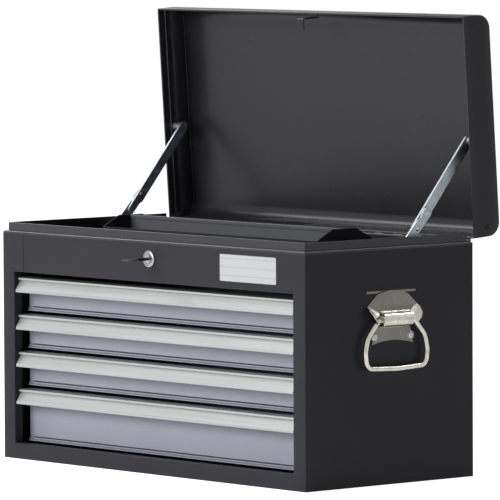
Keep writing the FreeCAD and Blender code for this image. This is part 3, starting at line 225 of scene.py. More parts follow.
def linear(code):
    # sRGB hex to linear light.
    value = np.array([int(code[place:place + 2], 16) for place in (1, 3, 5)]) / 255
    value = np.where(value <= 0.04045, value / 12.92, ((value + 0.055) / 1.055) ** 2.4)
    return (*value.tolist(), 1.0)


def addNode(tree, kind, inputs=None, **settings):
    # A node with its settings; each input gets a number, a colour or the socket that feeds it.
    node = tree.nodes.new("ShaderNode" + kind)
    for name, value in settings.items():
        setattr(node, name, value)
    for name, value in (inputs or {}).items():
        if isinstance(value, bpy.types.NodeSocket):
            tree.links.new(value, node.inputs[name])
        else:
            node.inputs[name].default_value = value
    return node


def newFinish(name):
    # An empty material, and its coordinates in metres.
    finish = bpy.data.materials.new(name)
    finish.use_nodes = True
    tree = finish.node_tree
    tree.nodes.clear()
    place = addNode(tree, "TexCoord").outputs["Object"]
    return finish, tree, place


def shaded(finish, tree, inputs):
    shader = addNode(tree, "BsdfPrincipled", inputs)
    addNode(tree, "OutputMaterial", {"Surface": shader.outputs[0]})
    return finish


def rampBetween(tree, factor, low, high, start, end):
    # From the low colour where the factor is at its start to the high one at its end.
    ramp = addNode(tree, "ValToRGB", {"Fac": factor})
    for stop, place, colour in zip(ramp.color_ramp.elements, (start, end), (low, high)):
        stop.position, stop.color = place, colour
    return ramp.outputs[0]


def grey(value):
    return (value, value, value, 1.0)


# Sizes of the patterns in metres. Speckle, hairlines and handling marks are far finer on the real chest and
# are drawn this coarse so that they show at the photograph's distance.
grain = {"speckle": 0.0016, "cloud": 0.11, "peel": 0.0022, "marks": 0.0018, "tone": 0.03, "deep": 0.0001,
         "halfRule": 0.006}


def powderCoat(name, dark, pale, rough, gloss, peel):
    # Polyester powder baked on sheet steel: satin, with fine orange peel, a faint speckle and cloudy patches.
    finish, tree, place = newFinish(name)
    speckle = addNode(tree, "TexNoise", {"Vector": place, "Scale": 1 / grain["speckle"], "Detail": 2.0})
    cloud = addNode(tree, "TexNoise", {"Vector": place, "Scale": 1 / grain["cloud"], "Detail": 3.0})
    both = addNode(tree, "Math", {0: speckle.outputs["Fac"], 1: 0.45}, operation="MULTIPLY")
    both = addNode(tree, "Math", {0: cloud.outputs["Fac"], 1: 0.55, 2: both.outputs[0]},
                   operation="MULTIPLY_ADD")
    colour = rampBetween(tree, both.outputs[0], linear(dark), linear(pale), 0.3, 0.7)
    dull = rampBetween(tree, cloud.outputs["Fac"], grey(rough - 0.04), grey(rough + 0.05), 0.3, 0.7)
    skin = addNode(tree, "TexNoise", {"Vector": place, "Scale": 1 / grain["peel"], "Detail": 1.0})
    bump = addNode(tree, "Bump", {"Height": skin.outputs["Fac"], "Strength": peel, "Distance": grain["deep"]})
    return shaded(finish, tree, {"Specular IOR Level": gloss, "IOR": 1.5, "Base Color": colour,
                                 "Roughness": dull, "Normal": bump.outputs[0]})


def brushedMetal(name, dark, pale, rough, wide, long, strength):
    # Metal drawn or brushed one way: hairlines, long along X and narrow across it.
    finish, tree, place = newFinish(name)
    line = addNode(tree, "Mapping", {"Vector": place, "Scale": (1 / long, 1 / wide, 1 / wide)})
    hair = addNode(tree, "TexNoise", {"Vector": line.outputs[0], "Scale": 1.0, "Detail": 3.0})
    colour = rampBetween(tree, hair.outputs["Fac"], linear(dark), linear(pale), 0.3, 0.7)
    dull = rampBetween(tree, hair.outputs["Fac"], grey(rough - 0.06), grey(rough + 0.08), 0.3, 0.7)
    bump = addNode(tree, "Bump", {"Height": hair.outputs["Fac"], "Strength": strength,
                                  "Distance": grain["deep"]})
    return shaded(finish, tree, {"Metallic": 1.0, "Base Color": colour, "Roughness": dull,
                                 "Normal": bump.outputs[0]})


def platedMetal(name, dark, pale, rough, patch, spread):
    # Bright electroplate: colour and gloss drift in soft patches of the given size, with fine handling marks.
    finish, tree, place = newFinish(name)
    drift = addNode(tree, "TexNoise", {"Vector": place, "Scale": 1 / patch, "Detail": 4.0, "Distortion": 0.6})
    marks = addNode(tree, "TexNoise", {"Vector": place, "Scale": 1 / grain["marks"], "Detail": 2.0})
    colour = rampBetween(tree, drift.outputs["Fac"], linear(dark), linear(pale), 0.32, 0.68)
    dull = rampBetween(tree, drift.outputs["Fac"], grey(rough), grey(rough + spread), 0.3, 0.7)
    bump = addNode(tree, "Bump", {"Height": marks.outputs["Fac"], "Strength": 0.12,
                                  "Distance": grain["deep"]})
    return shaded(finish, tree, {"Metallic": 1.0, "Base Color": colour, "Roughness": dull,
                                 "Normal": bump.outputs[0]})


def ruledPlate(name):
    # Gloss-white painted tin with faint printed rules for the owner's notes, 12 mm apart and bare of words.
    finish, tree, place = newFinish(name)
    axes = addNode(tree, "SeparateXYZ", {"Vector": place})
    rule = addNode(tree, "Math", {0: axes.outputs["Z"], 1: grain["halfRule"]}, operation="PINGPONG")
    share = addNode(tree, "Math", {0: rule.outputs[0], 1: 1 / grain["halfRule"]}, operation="MULTIPLY")
    ruled = rampBetween(tree, share.outputs[0], linear("#CFD1D6"), linear("#E3E5EA"), 0.05, 0.14)
    tone = addNode(tree, "TexNoise", {"Vector": place, "Scale": 1 / grain["tone"], "Detail": 3.0})
    dull = rampBetween(tree, tone.outputs["Fac"], grey(0.28), grey(0.4), 0.3, 0.7)
    return shaded(finish, tree, {"IOR": 1.5, "Base Color": ruled, "Roughness": dull})


# A coat has its darkest and palest colour, roughness, gloss and peel. A plate has its colours, roughness, the
# size of its patches and the spread of its roughness. The pulls' hairlines are 3 mm wide and 250 mm long.
finishes = {
    "case": powderCoat("charcoalPowderCoat", "#3A3A3F", "#424247", 0.36, 0.08, 0.25),
    # The lid's coat is the case's charcoal paint, glossier, with its colour darkened as painted shade on the
    # lid and its catch.
    "lid": powderCoat("glossCharcoalWithPaintedShade", "#27272C", "#2E2E33", 0.28, 0.22, 0.2),
    # The rim's coat is the case's charcoal paint again, glossier, with its colour a little darker as painted
    # shade on the rim, the lid's hem and the hinge.
    "rim": powderCoat("rimCharcoalWithPaintedShade", "#343439", "#3C3C41", 0.3, 0.3, 0.15),
    "drawer": powderCoat("blueGreyPowderCoat", "#B0B3C0", "#BABDCA", 0.42, 0.2, 0.2),
    "inside": powderCoat("blackPowderCoat", "#19191B", "#1F1F21", 0.5, 0.1, 0.3),
    "pull": brushedMetal("brushedAnodisedAluminium", "#9DA1A0", "#A4A8A6", 0.44, 0.003, 0.25, 0.02),
    "nickel": platedMetal("brightNickelPlate", "#A6A29A", "#C4C0B9", 0.14, 0.015, 0.14),
    # Satin nickel whose colour is darkened below the metal's own as painted shade, standing in for the darker
    # surroundings it reflects.
    "satin": platedMetal("satinNickelWithPaintedShade", "#64615E", "#716E6B", 0.34, 0.03, 0.12),
    "zinc": platedMetal("blueZincPlate", "#7F868B", "#989FA3", 0.36, 0.012, 0.16),
    "steel": platedMetal("darkKeySteel", "#3E3E42", "#515155", 0.3, 0.01, 0.15),
    "lock": platedMetal("lockNickelPlate", "#8F9190", "#A9ABA9", 0.2, 0.01, 0.14),
    # Paler than the case's charcoal: the carrying plate's lightness is painted light, standing in for the
    # light it catches over the front rim.
    "tray": powderCoat("trayGreyWithPaintedLight", "#626468", "#6C6E72", 0.4, 0.15, 0.2),
    "plate": ruledPlate("ruledWhitePlate"),
}


def dressNodes(finish, names):
    # Finish for the nodes that are shown as they were modelled.
    for name in names:
        for slot in nodes[name].material_slots:
            slot.material = finishes[finish]
        if not nodes[name].material_slots:
            nodes[name].data.materials.append(finishes[finish])


dressNodes("case", ["back_and_bottom_panel", "compartment_floor", "tote_tray"])
dressNodes("inside", ["slide_posts", "drawer_lock_bar"])
dressNodes("rim", ["hinge_case_leaf", "hinge_lid_leaf", "hinge_pin"])
dressNodes("lock", ["lock_plug"])
dressNodes("zinc", ["lock_bar_guides", "lock_bar_fingers", "lock_cam", "lock_nut", "stay_case_studs",
                    "stay_lid_studs", "left_stay_lid_rivet", "right_stay_lid_rivet"])
for number in range(1, 5):
    dressNodes("drawer", [f"drawer_{number}_box"])
    dressNodes("zinc", [f"drawer_{number}_rails", f"drawer_{number}_channels"])
print("finishes ready")


# Case

caseSheets = {"footBend": 1.5, "footFlange": 15.0, "slotHalf": 46.5, "slotMiddle": 3.0, "slotLow": 264.6,
              "slotHigh": 268.0, "skirt": 324.0, "seam": -282.2, "seamGap": 0.7}


def sidePanel():
    # Upright sheet with its foot folded in and a slot over the handle.
    side, foot = chest["side"], chest["side"] - caseSheets["footFlange"]
    low, high = caseSheets["slotLow"], caseSheets["slotHigh"]
    start = chest["front"] + chest["cornerBend"]
    stations = [start, caseSheets["slotMiddle"] - caseSheets["slotHalf"],
                caseSheets["slotMiddle"] + caseSheets["slotHalf"], chest["back"] - chest["sheet"]]
    corners = [(foot, 0), (side, 0), (side, low), (side, high), (side, caseSheets["skirt"])]
    keep = np.ones((3, len(bentRun(corners, [caseSheets["footBend"], 0, 0])[0]) - 1), bool)
    keep[1, -2] = False
    return foldedSheet(corners, [caseSheets["footBend"], 0, 0], chest["sheet"], stations, 1, keep)


def frontCorner(low, high, folded):
    # Front sheet from the opening's edge round the case's corner, with or without the return behind it. The
    # corner's bend is a hair smaller than its run, so that no two points fall together.
    edge, front, side = chest["openingSide"], chest["front"], chest["side"]
    corners = [(edge, front), (side, front), (side, front + chest["cornerBend"])]
    bends = [chest["cornerBend"] - 0.001]
    if folded:
        corners.insert(0, (edge, front + chest["return"]))
        bends.insert(0, chest["edgeBend"])
    return foldedSheet(corners, bends, chest["sheet"], [low, high], 2, steps=8)


def frontRail(corners, left, right):
    # Front sheet above or below the opening, folded back along the opening's edge.
    return foldedSheet(corners, [chest["edgeBend"]], chest["sheet"], [left, right], 0)


low, high, front = chest["openingBottom"], chest["openingTop"], chest["front"]
edge, top, behind = chest["openingSide"], caseSheets["skirt"], chest["front"] + chest["return"]
seam, gap = caseSheets["seam"], caseSheets["seamGap"] / 2
stile = [frontCorner(0, low, False), frontCorner(low, high, True)]
putPiece("frontFrame", stile + onSide("left", stile) + [
    frontRail([(behind, low), (front, low), (front, 0)], -edge, edge),
    mirrored(frontCorner(high, top, False)),
    mirrored(frontRail([(front, top), (front, high), (behind, high)], -seam + gap, edge)),
], finishes["case"], "case", ["front_frame"])
putPiece("topFrontPanel", [
    frontRail([(front, top), (front, high), (behind, high)], seam + gap, edge),
    frontCorner(high, top, False)], finishes["case"], "case",
    ["top_front_panel", "lock_panel"])
for side in ("right", "left"):
    putPiece(f"{side}SidePanel", onSide(side, [sidePanel()]), finishes["case"], "case",
             [f"{side}_side_panel"])

topRim = {"bend": 2.6, "ledgeEnd": 6.2, "ledgeSheet": 0.9, "cornerGrowth": 1.4, "backShare": 0.44,
          "wallInset": 5.0, "wallBend": 0.9, "wallSheet": 0.8, "wallCorner": 10.0, "wallEnd": 147.8,
          "sunk": 0.4, "hemInset": 7.0, "hemDeep": 6.5}


def ringAlong(profile):
    # A closed section carried round the top of the case. Each of its points has an inset from the side faces,
    # a height, an inset from the back face and the radius of the ring's corners there.
    rings = []
    for inset, height, backInset, radius in profile:
        loop = roundedLoop(-chest["side"] + inset, chest["side"] - inset, chest["front"] + inset,
                           chest["back"] - backInset, radius)
        rings.append(np.column_stack([loop, np.full(len(loop), height)]))
    return gridSkin(np.array(rings + rings[:1]))


def ledge():
    # Skirt and ledge folded from one strip that runs all round.
    shoulder, wall, share = chest["shoulder"], topRim["wallInset"], topRim["backShare"]
    run, side = bentRun([(0, caseSheets["skirt"]), (0, shoulder), (topRim["ledgeEnd"], shoulder)],
                        [topRim["bend"]])
    section = np.concatenate([run, (run - side * topRim["ledgeSheet"])[::-1]])
    inset, height = section[:, 0], section[:, 1]
    backInset = np.where(inset < wall, inset * share, wall * share + (inset - wall))
    radius = chest["cornerBend"] + np.clip(inset / wall, 0, 1) * topRim["cornerGrowth"]
    return ringAlong(np.column_stack([inset, height, backInset, radius]))


def upstand():
    # Wall that stands on the ledge along the front and both sides, its edge hemmed over inside. Its section
    # (inset from the side face, height) follows a U with round front corners.
    foot, top, hem = chest["shoulder"] - topRim["sunk"], chest["rimTop"], topRim["hemInset"]
    run, side = bentRun([(topRim["wallInset"], foot), (topRim["wallInset"], top), (hem, top),
                         (hem, top - topRim["hemDeep"])], [topRim["wallBend"], topRim["wallBend"]])
    section = np.concatenate([run, (run - side * topRim["wallSheet"])[::-1]])
    angle = np.linspace(0, np.pi / 2, 9)
    rows = []
    for inset, height in np.concatenate([section, section[:1]]):
        half, face, radius = chest["side"] - inset, chest["front"] + inset, topRim["wallCorner"] - inset
        right = np.stack([half - radius + radius * np.cos(angle), face + radius - radius * np.sin(angle)], 1)
        left = np.stack([-half + radius - radius * np.sin(angle), face + radius - radius * np.cos(angle)], 1)
        path = np.concatenate([[(half, topRim["wallEnd"])], right, left, [(-half, topRim["wallEnd"])]])
        rows.append(np.column_stack([path, np.full(len(path), height)]))
    grid = np.array(rows)
    count = len(run)
    caps = [gridSkin(np.stack([grid[:count, end], grid[count:2 * count, end][::-1]])) for end in (0, -1)]
    return [gridSkin(grid)] + caps


# The rim's coat is darker than the case's as painted shade.
putPiece("topRim", [ledge()] + upstand(), finishes["rim"], "case", ["top_rim"])
print("case folded")


# Drawers

drawer = {"tops": [261.9, 208.2, 154.5, 100.8], "lows": [212.4, 158.7, 105.0, 24.5], "half": 302.1,
          "face": -129.0, "back": -128.0, "fold": 11.0, "bead": 3.0, "beadHeight": 5.0, "bend": 1.6,
          "sheet": 1.0, "beadSheet": 0.8}
pull = {"wall": 1.6, "leg": 9.0, "sheet": 1.1, "core": 1.2}


def drawerFront(low, high):
    # Flat face with its ends folded back, over two beads rolled along the foot with a groove above each.
    half, face, bend, thin = drawer["half"], drawer["face"], drawer["bend"], drawer["beadSheet"]
    knee = low + drawer["beadHeight"] + bend
    panel = foldedSheet([(-half, face + drawer["fold"]), (-half, face), (half, face),
                         (half, face + drawer["fold"])], [bend, bend], drawer["sheet"],
                        [knee, high - pull["wall"]], 2, steps=8)
    nose = face - drawer["bead"]
    beads = foldedSheet([(face, knee), (face + 1.0, knee - 0.4), (face + 1.0, knee - 1.5),
                         (nose + 1.2, knee - 1.9), (nose + 1.2, knee - 3.5), (face + 0.6, knee - 3.9),
                         (face + 0.6, knee - 4.7), (nose, knee - 5.0), (nose, low), (face + 1.5, low)],
                        [0, 0, 0.5, 0.5, 0, 0, 0.6, 0.8], thin, [-half + thin, half - thin], 0)
    return [panel, beads]


def drawerPull(high):
    # Extrusion: flat top, a blunt fin that juts over a groove, then a broad slanted face whose foot turns
    # down into a lip. Behind it a leg lies on the drawer's face, and a core fills the fin.
    corners = [(drawer["back"], high), (-146.0, high - 0.1), (-149.2, high - 1.4), (-149.2, high - 4.2),
               (-146.2, high - 5.8), (-153.6, high - 18.5), (-153.6, high - 22)]
    bends = [1.2, 0.9, 0.4, 0.5, 1.6]
    half = drawer["half"]
    leg = foldedSheet([(drawer["face"], high - 1.0), (drawer["face"], high - pull["leg"])], [], -pull["wall"],
                      [-half + 0.4, half - 0.4], 0)
    core = foldedSheet([(-147.4, high - 4.3), (-143.4, high - 2.3)], [], pull["core"],
                       [-half + 0.3, half - 0.3], 0)
    return [foldedSheet(corners, bends, pull["sheet"], [-half, half], 0), leg, core]


for number, (low, high) in enumerate(zip(drawer["lows"], drawer["tops"]), 1):
    body = f"drawer_{number}"
    putPiece(f"drawer{number}Front", drawerFront(low, high), finishes["drawer"], body,
             [f"drawer_{number}_front"])
    putPiece(f"drawer{number}Pull", drawerPull(high), finishes["pull"], body,
             [f"drawer_{number}_pull"], sharp=25, bevel=0.15)
print("drawers hung")


# Lid

lid = {"low": 328.6, "high": 377.95, "radius": 20.0, "endBend": 2.0, "sheet": 1.0, "slotLeft": -55.0,
       "slotRight": -25.0, "slotLow": 355.5, "hemInset": 0.9, "hemEnd": 147.0, "hemTop": 340.5,
       "stepTop": 349.7}


def lidShell():
    # Skin of the pan: its long walls and top in one bent run, each end turned down over a small bend, and
    # the end walls as columns that drop from that bend to the mouth.
    side, bend = chest["side"], lid["endBend"]
    run, inward = bentRun([(chest["back"], lid["low"]), (chest["back"], lid["slotLow"]),
                           (chest["back"], lid["high"]), (chest["front"], lid["high"]),
                           (chest["front"], lid["low"])],
                          [0, lid["radius"], lid["radius"]], 12)
    angle = np.linspace(0, np.pi / 2, 7)
    stations = np.concatenate([-side + bend - bend * np.sin(angle)[::-1], [lid["slotLeft"], lid["slotRight"]],
                               side - bend + bend * np.sin(angle)])
    inset = np.concatenate([bend - bend * np.cos(angle)[::-1], [0, 0], bend - bend * np.cos(angle)])
    grid = np.zeros((len(stations), len(run), 3))
    grid[..., 0] = stations[:, None]
    grid[..., 1:] = run + inward * inset[:, None, None]
    grid[:, (0, -1), 2] = lid["low"]
    keep = np.ones((len(stations) - 1, len(run) - 1), bool)
    keep[len(angle), 1:3] = False
    rims = [grid[end][1:-1] for end in (0, -1)]
    ends = [gridSkin(np.array([rim, rim * (1, 1, 0) + (0, 0, lid["low"])])) for rim in rims]
    return [opened(part) for part in [gridSkin(grid, keep)] + ends]


def hemSection(wall):
    # Section of the hem, from the wall's inner face towards the middle, with a rolled rib at each fold.
    foot, hem, step = lid["low"] + 0.1, lid["hemTop"], lid["stepTop"]
    return np.array([(wall, foot), (wall - 1.3, foot), (wall - 1.3, hem - 1.0), (wall - 2.6, hem - 0.3),
                     (wall - 2.6, hem + 0.4), (wall - 0.8, hem + 1.0), (wall - 0.8, step - 1.0),
                     (wall - 2.4, step - 0.3), (wall - 2.4, step + 0.4), (wall, step + 1.0), (wall, foot)])


def lidHem():
    # Mouth folded in along the ends and the front wall: a thick edge, and a thinner step above it.
    inner = chest["side"] - lid["hemInset"]
    end = carried(hemSection(inner), [chest["front"] + lid["sheet"], lid["hemEnd"]], 1)
    caps = [gridSkin(np.stack([end[place][:5], end[place][5:10][::-1]])) for place in (0, 1)]
    right = [gridSkin(end)] + caps
    section = hemSection(-chest["front"] - lid["hemInset"]) * np.array([-1, 1])
    front = gridSkin(carried(section, [-inner, inner], 0))
    return [opened(part) for part in right + onSide("left", right) + [front]]


# The lid's coat carries painted shade: its colour is darker than the case's paint.
putPiece("lidShell", lidShell(), finishes["lid"], "lid", ["lid_shell"], sharp=40,
         wall=lid["sheet"])
putPiece("lidHem", lidHem(), finishes["rim"], "lid")

catch = {"half": 10.0, "hookHalf": 7.0, "sheet": 1.5, "bend": 1.6, "front": -154.0, "over": 341.3,
         "strapHigh": 12.0, "behind": -147.2, "hook": 316.5, "hookReach": 16.5}


def lidCatch():
    # Strap from the lid's front wall over the upstand, and a narrower hook that drops behind it.
    front, over, behind, hook = catch["front"], catch["over"], catch["behind"], catch["hook"]
    bends, sheet = [catch["bend"]], catch["sheet"]
    strap = foldedSheet([(front, over + catch["strapHigh"]), (front, over), (behind + sheet, over)],
                        bends, sheet, [-catch["half"], catch["half"]], 0)
    drop = foldedSheet([(behind, over + 0.4), (behind, hook), (behind + catch["hookReach"], hook)],
                       bends, sheet, [-catch["hookHalf"], catch["hookHalf"]], 0)
    return [opened(strap), opened(drop)]


putPiece("lidCatch", lidCatch(), finishes["lid"], "lid", ["lid_catch"], bevel=0.2)
print("lid shaped")


# Label plate

label = {"left": 151.7, "right": 269.7, "low": 280.0, "high": 317.0, "corner": 2.0, "sheet": 0.6,
         "edge": 0.25}


def labelPlate():
    # Loops of a rounded rectangle from the panel's face over a small edge to a fold along its middle.
    rings = []
    halfHigh, sheet, edge = (label["high"] - label["low"]) / 2, label["sheet"], label["edge"]
    for inset, out in ((0.0, 0.0), (0.0, sheet - 0.2), (edge, sheet), (halfHigh, sheet)):
        corner = max(label["corner"] - inset, 0.001) if inset < halfHigh else 0.0
        loop = roundedLoop(label["left"] + inset, label["right"] - inset, label["low"] + inset,
                           label["high"] - inset, corner)
        rings.append(np.column_stack([loop[:, 0], np.full(len(loop), chest["front"] - out), loop[:, 1]]))
    return gridSkin(np.array(rings))


putPiece("labelPlate", [labelPlate()], finishes["plate"], "case", ["label_plate"])


# Lock and key

lock = {"height": 302.6, "bowMiddle": -189.8, "bowRadius": 12.0, "holeMiddle": -195.8, "holeRadius": 3.5,
        "bladeStart": -178.5, "bladeEnd": -139.2, "neckEnd": -159.2, "neckThicker": 0.9, "bladeHalf": 4.0}


def rosette():
    # Turned rosette with two rings round the plug, and the barrel behind it.
    return turnedRing([(0, 11.8), (-1.6, 11.8), (-2.6, 11.2), (-3.0, 10.4), (-3.0, 9.8), (-2.3, 9.4),
                       (-2.3, 8.9), (-2.9, 8.5), (-2.9, 7.4), (-2.2, 6.9), (-2.2, 6.15), (18, 6.15), (18, 9),
                       (0, 9), (0, 11.8)], (0, chest["front"], lock["height"]), 1)


def keyShape():
    # Flat key: a bow from its hole out to its rim, a thick neck, and a grooved blade with cuts in both edges.
    angle = np.linspace(0, 2 * np.pi, 49)
    circle = np.stack([np.cos(angle), np.sin(angle)], 1)
    hole = circle * lock["holeRadius"] + (0, lock["holeMiddle"])
    rim = circle * lock["bowRadius"] + (0, lock["bowMiddle"])
    bevels = [(0.0, 0.6), (0.06, 1.0), (0.9, 1.0), (1.0, 0.55)]
    rings = [np.column_stack([hole + (rim - hole) * share, np.full(len(rim), lock["height"] + side * level)])
             for side in (1, -1) for share, level in bevels[::side]]
    along = np.linspace(lock["bladeStart"], lock["bladeEnd"], 90)
    cuts = lock["bladeHalf"] - 0.9 * np.clip(np.sin((along + 150) * 1.3), 0, 1) * (along > -153)
    cuts -= 2.2 * np.clip((along + 142) / 3, 0, 1)
    across = np.array([-1, -0.86, -0.3, -0.25, 0.25, 0.3, 0.86, 1])
    level = np.array([0.6, 1.0, 1.0, 0.75, 0.75, 1.0, 1.0, 0.6])
    section = np.concatenate([np.stack([across, level], 1), np.stack([across[::-1], -level[::-1]], 1)])
    section = np.concatenate([section, section[:1]])
    blade = np.zeros((len(along), len(section), 3))
    blade[..., 0] = cuts[:, None] * section[:, 0]
    blade[..., 1] = along[:, None]
    neck = 1 + lock["neckThicker"] * np.clip(lock["neckEnd"] - along, 0, 1)
    blade[..., 2] = lock["height"] + neck[:, None] * section[:, 1]
    half = len(across)
    caps = [gridSkin(np.stack([blade[end][:half], blade[end][half:2 * half][::-1]])) for end in (0, -1)]
    return [gridSkin(np.array(rings + rings[:1])), gridSkin(blade)] + caps


putPiece("lockRosette", [rosette()], finishes["lock"], "case", ["lock_housing"], sharp=28)
putPiece("flatKey", keyShape(), finishes["steel"], "key", ["key"], sharp=28)
print("lock and label in place")


# Side handles

handle = {"middle": 3.0, "foot": 194.0, "tall": 74.0, "face": 330.0, "sheet": 1.5, "swell": 5.0,
          "topBow": 6.0, "footBow": 5.4, "barrelX": 338.8, "barrelZ": 227.3, "barrelRadius": 8.5,
          "barrelHalf": 27.5, "barrelSheet": 1.2, "earSheet": 1.1, "wire": 3.7}


def handlePlate():
    # Plate as a grid from foot to top: its half width follows the foot's flare, the neck behind the barrel,
    # the ears and the shoulders, its top and foot rows bow to their arcs, and it swells out at the barrel.
    heights = np.array([0, 11, 21.6, 29, 37, 41.7, 44.5, 49.8, 52.5, 54.3, 57.5, 62, 66, 69.5, 74.0])
    halves = np.array([38.4, 35.2, 33, 31, 27.6, 27.2, 29.2, 36.6, 41.5, 45.6, 43.2, 39.2, 35.5, 32.4, 30.3])
    rise = np.linspace(0, handle["tall"], 72)
    half = np.interp(rise, heights, halves)
    across = np.linspace(-1, 1, 61)
    bowTop = -handle["topBow"] * across ** 2
    bowFoot = handle["footBow"] * (1 - across ** 2)
    share = rise[:, None] / handle["tall"]
    z = handle["foot"] + rise[:, None] + bowFoot * (1 - share) ** 6 + bowTop * share ** 6
    y = handle["middle"] + half[:, None] * across
    swell = np.where(rise > 41, np.clip((54 - rise) / 12, 0, 1) ** 2, np.clip((rise - 34) / 7, 0, 1))
    x = handle["face"] + handle["swell"] * swell[:, None] * np.ones(len(across))
    skin = np.stack([x, y, z], -1)
    outer = skin + np.array([1, 0, 0]) * handle["sheet"]
    return gridShell(outer, skin)


def handleEar(end):
    # Side edge of the plate curled out like the rim of a trumpet, from nothing at the ear's tip to its full
    # width round the barrel's end. Each point is crease + (rim - crease) times a quarter turn: outward in the
    # plate's plane at first, then away from the case.
    step = np.linspace(0, 1, 24)
    knots = (0, 0.33, 0.66, 0.85, 1.0)

    def smooth(values):
        return np.interp(step, knots, values)

    crease = np.stack([smooth((331.0, 332.2, 335.2, 338.5, 340.5)), smooth((45.6, 36.8, 29.4, 27.4, 27.0)),
                       smooth((20.5, 16.3, 11.2, 7.2, 1.5))], 1)
    rim = np.stack([smooth((331.2, 338.5, 344.8, 346.6, 345.6)), smooth((46.2, 47.4, 46.0, 42.5, 35.5)),
                    smooth((20.2, 15.4, 8.6, 2.4, -4.0))], 1)
    turn = np.linspace(0, np.pi / 2, 10)
    share = np.stack([1 - np.cos(turn), np.sin(turn), np.sin(turn) ** 2], 1)
    grid = crease[:, None] + (rim - crease)[:, None] * share
    points, faces = gridShell(grid, grid - np.array([0.75, -0.6, 0.25]) * handle["earSheet"])
    return points * np.array([1, end, 1]) + np.array([0, handle["middle"], handle["barrelZ"]]), faces


def handleBarrel():
    # Sheet of the plate rolled over the bail's ends: a round tube with turned-in rims and a bead near each,
    # the web that leads into it from below, and the lip that rolls over it from above.
    radius, half, sheet = handle["barrelRadius"], handle["barrelHalf"], handle["barrelSheet"]
    centre = (handle["barrelX"], handle["middle"], handle["barrelZ"])
    tube = turnedRing([(-half, 3.0), (-half, radius - 1.2), (-half + 0.9, radius - 0.2), (-half + 2, radius),
                       (-half + 2.4, radius - 0.35), (-half + 2.8, radius), (half - 2.8, radius),
                       (half - 2.4, radius - 0.35), (half - 2, radius), (half - 0.9, radius - 0.2),
                       (half, radius - 1.2), (half, 3.0), (-half, 3.0)], centre, 1)
    web = foldedSheet([(330.2, 214.0), (331.6, 217.5), (334.5, 219.6), (337.0, 219.3)], [3, 3], sheet,
                      [handle["middle"] - half + 1.5, handle["middle"] + half - 1.5], 1)
    roll = foldedSheet([(335.6, 239.6), (338.6, 237.2), (342.4, 236.6), (345.0, 234.6), (344.4, 233.0)],
                       [3, 2, 1], sheet, [handle["middle"] - half + 1, handle["middle"] + half - 1], 1)
    return [tube, web, roll]


rivet = {"y": 33.7, "z": 204.5, "foot": 2.1, "high": 1.6, "radius": 4.9, "slotDeep": 0.55, "slotHalf": 0.7,
         "acrossSlot": (0.55, 0.83)}


def domedRivet(end):
    # Head of a rivet: a dome in a low rim, with a slanted slot pressed across it.
    place = np.array([handle["face"], handle["middle"] + end * rivet["y"], rivet["z"]])
    bow = np.linspace(0, np.pi / 2, 10)
    dome = [(rivet["foot"] + rivet["high"] * np.cos(turn), rivet["radius"] * np.sin(turn)) for turn in bow]
    rim = [(1.6, 5.1), (1.9, 5.6), (1.5, 5.9), (0.0, 5.9), (0.0, 0.0)]
    points, faces = turnedRing(dome + rim, place, 0, 40)
    reach = (points - place)[:, 1:] @ rivet["acrossSlot"]
    slot = rivet["slotDeep"] * np.exp(-(reach / rivet["slotHalf"]) ** 2)
    points[:, 0] -= slot * (points[:, 0] > handle["face"] + rivet["foot"] + 0.1)
    return points, faces


def bailWire():
    # Wire from one end of the barrel out along the slanted legs, round the curved sides and across the grip.
    middle, z, x = handle["middle"], handle["barrelZ"], handle["barrelX"]
    half = np.array([(25.5, 0), (33.1, 0), (53.0, -23.0), (57.2, -42.0), (54.8, -64.6)])
    corners = np.concatenate([half * (-1, 1), [(0, -67.0)], half[::-1]]) + (middle, z)
    path, _ = bentRun(corners, [5, 27, 27, 12, 200, 12, 27, 27, 5], 12)
    path = np.column_stack([np.full(len(path), x), path])
    return wireAlong(path, handle["wire"], (1, 0, 0))


strip = {"inner": 322.0, "face": 328.6, "top": 269.4, "low": 262.8, "bend": 1.2, "sheet": 0.9, "longer": 1.5}


def slotStrip():
    # Bare edge of the sheet that stiffens the side, behind the slot over the handle.
    middle, reach = caseSheets["slotMiddle"], caseSheets["slotHalf"] + strip["longer"]
    return foldedSheet([(strip["inner"], strip["top"]), (strip["face"], strip["top"]),
                        (strip["face"], strip["low"])], [strip["bend"]], -strip["sheet"],
                       [middle - reach, middle + reach], 1)


for side in ("right", "left"):
    barrel = [handleEar(1), handleEar(-1)] + handleBarrel()
    rivets = [domedRivet(-1), domedRivet(1)]
    # The handle plate and the slot strip take the satin nickel with its painted shade.
    putPiece(f"{side}HandlePlate", onSide(side, [handlePlate()]), finishes["satin"], "case",
             [f"{side}_handle_plate"], sharp=35, bevel=0.25)
    putPiece(f"{side}HandleBarrel", onSide(side, barrel), finishes["nickel"], "case",
             sharp=35, bevel=0.2)
    putPiece(f"{side}SlotStrip", onSide(side, [slotStrip()]), finishes["satin"], "case")
    putPiece(f"{side}HandleRivets", onSide(side, rivets), finishes["lock"], "case",
             ["handle_rivets"])
    putPiece(f"{side}Bail", onSide(side, [bailWire()]), finishes["nickel"], f"{side}_bail",
             [f"{side}_bail"])
print("handles riveted on")


# Stays

stay = {"case": (15.0, 293.0), "elbow": (87.70, 370.69), "lowerAngle": 46.9, "upperAngle": 50.05,
        "lowerLength": 106.4, "upperLength": 125.5, "lowerX": 309.2, "upperX": 306.9, "half": 7.8,
        "sheet": 2.0, "lip": 0.9, "notchDeep": 2.2, "notchBefore": 14.1, "notchHalf": 5.0, "tailEnd": -29.0,
        "tailHalf": 1.5, "drawnIn": (-16.0, -9.0), "stopBefore": 28.2, "rivetRadius": 4.8, "rivetReach": 1.4}


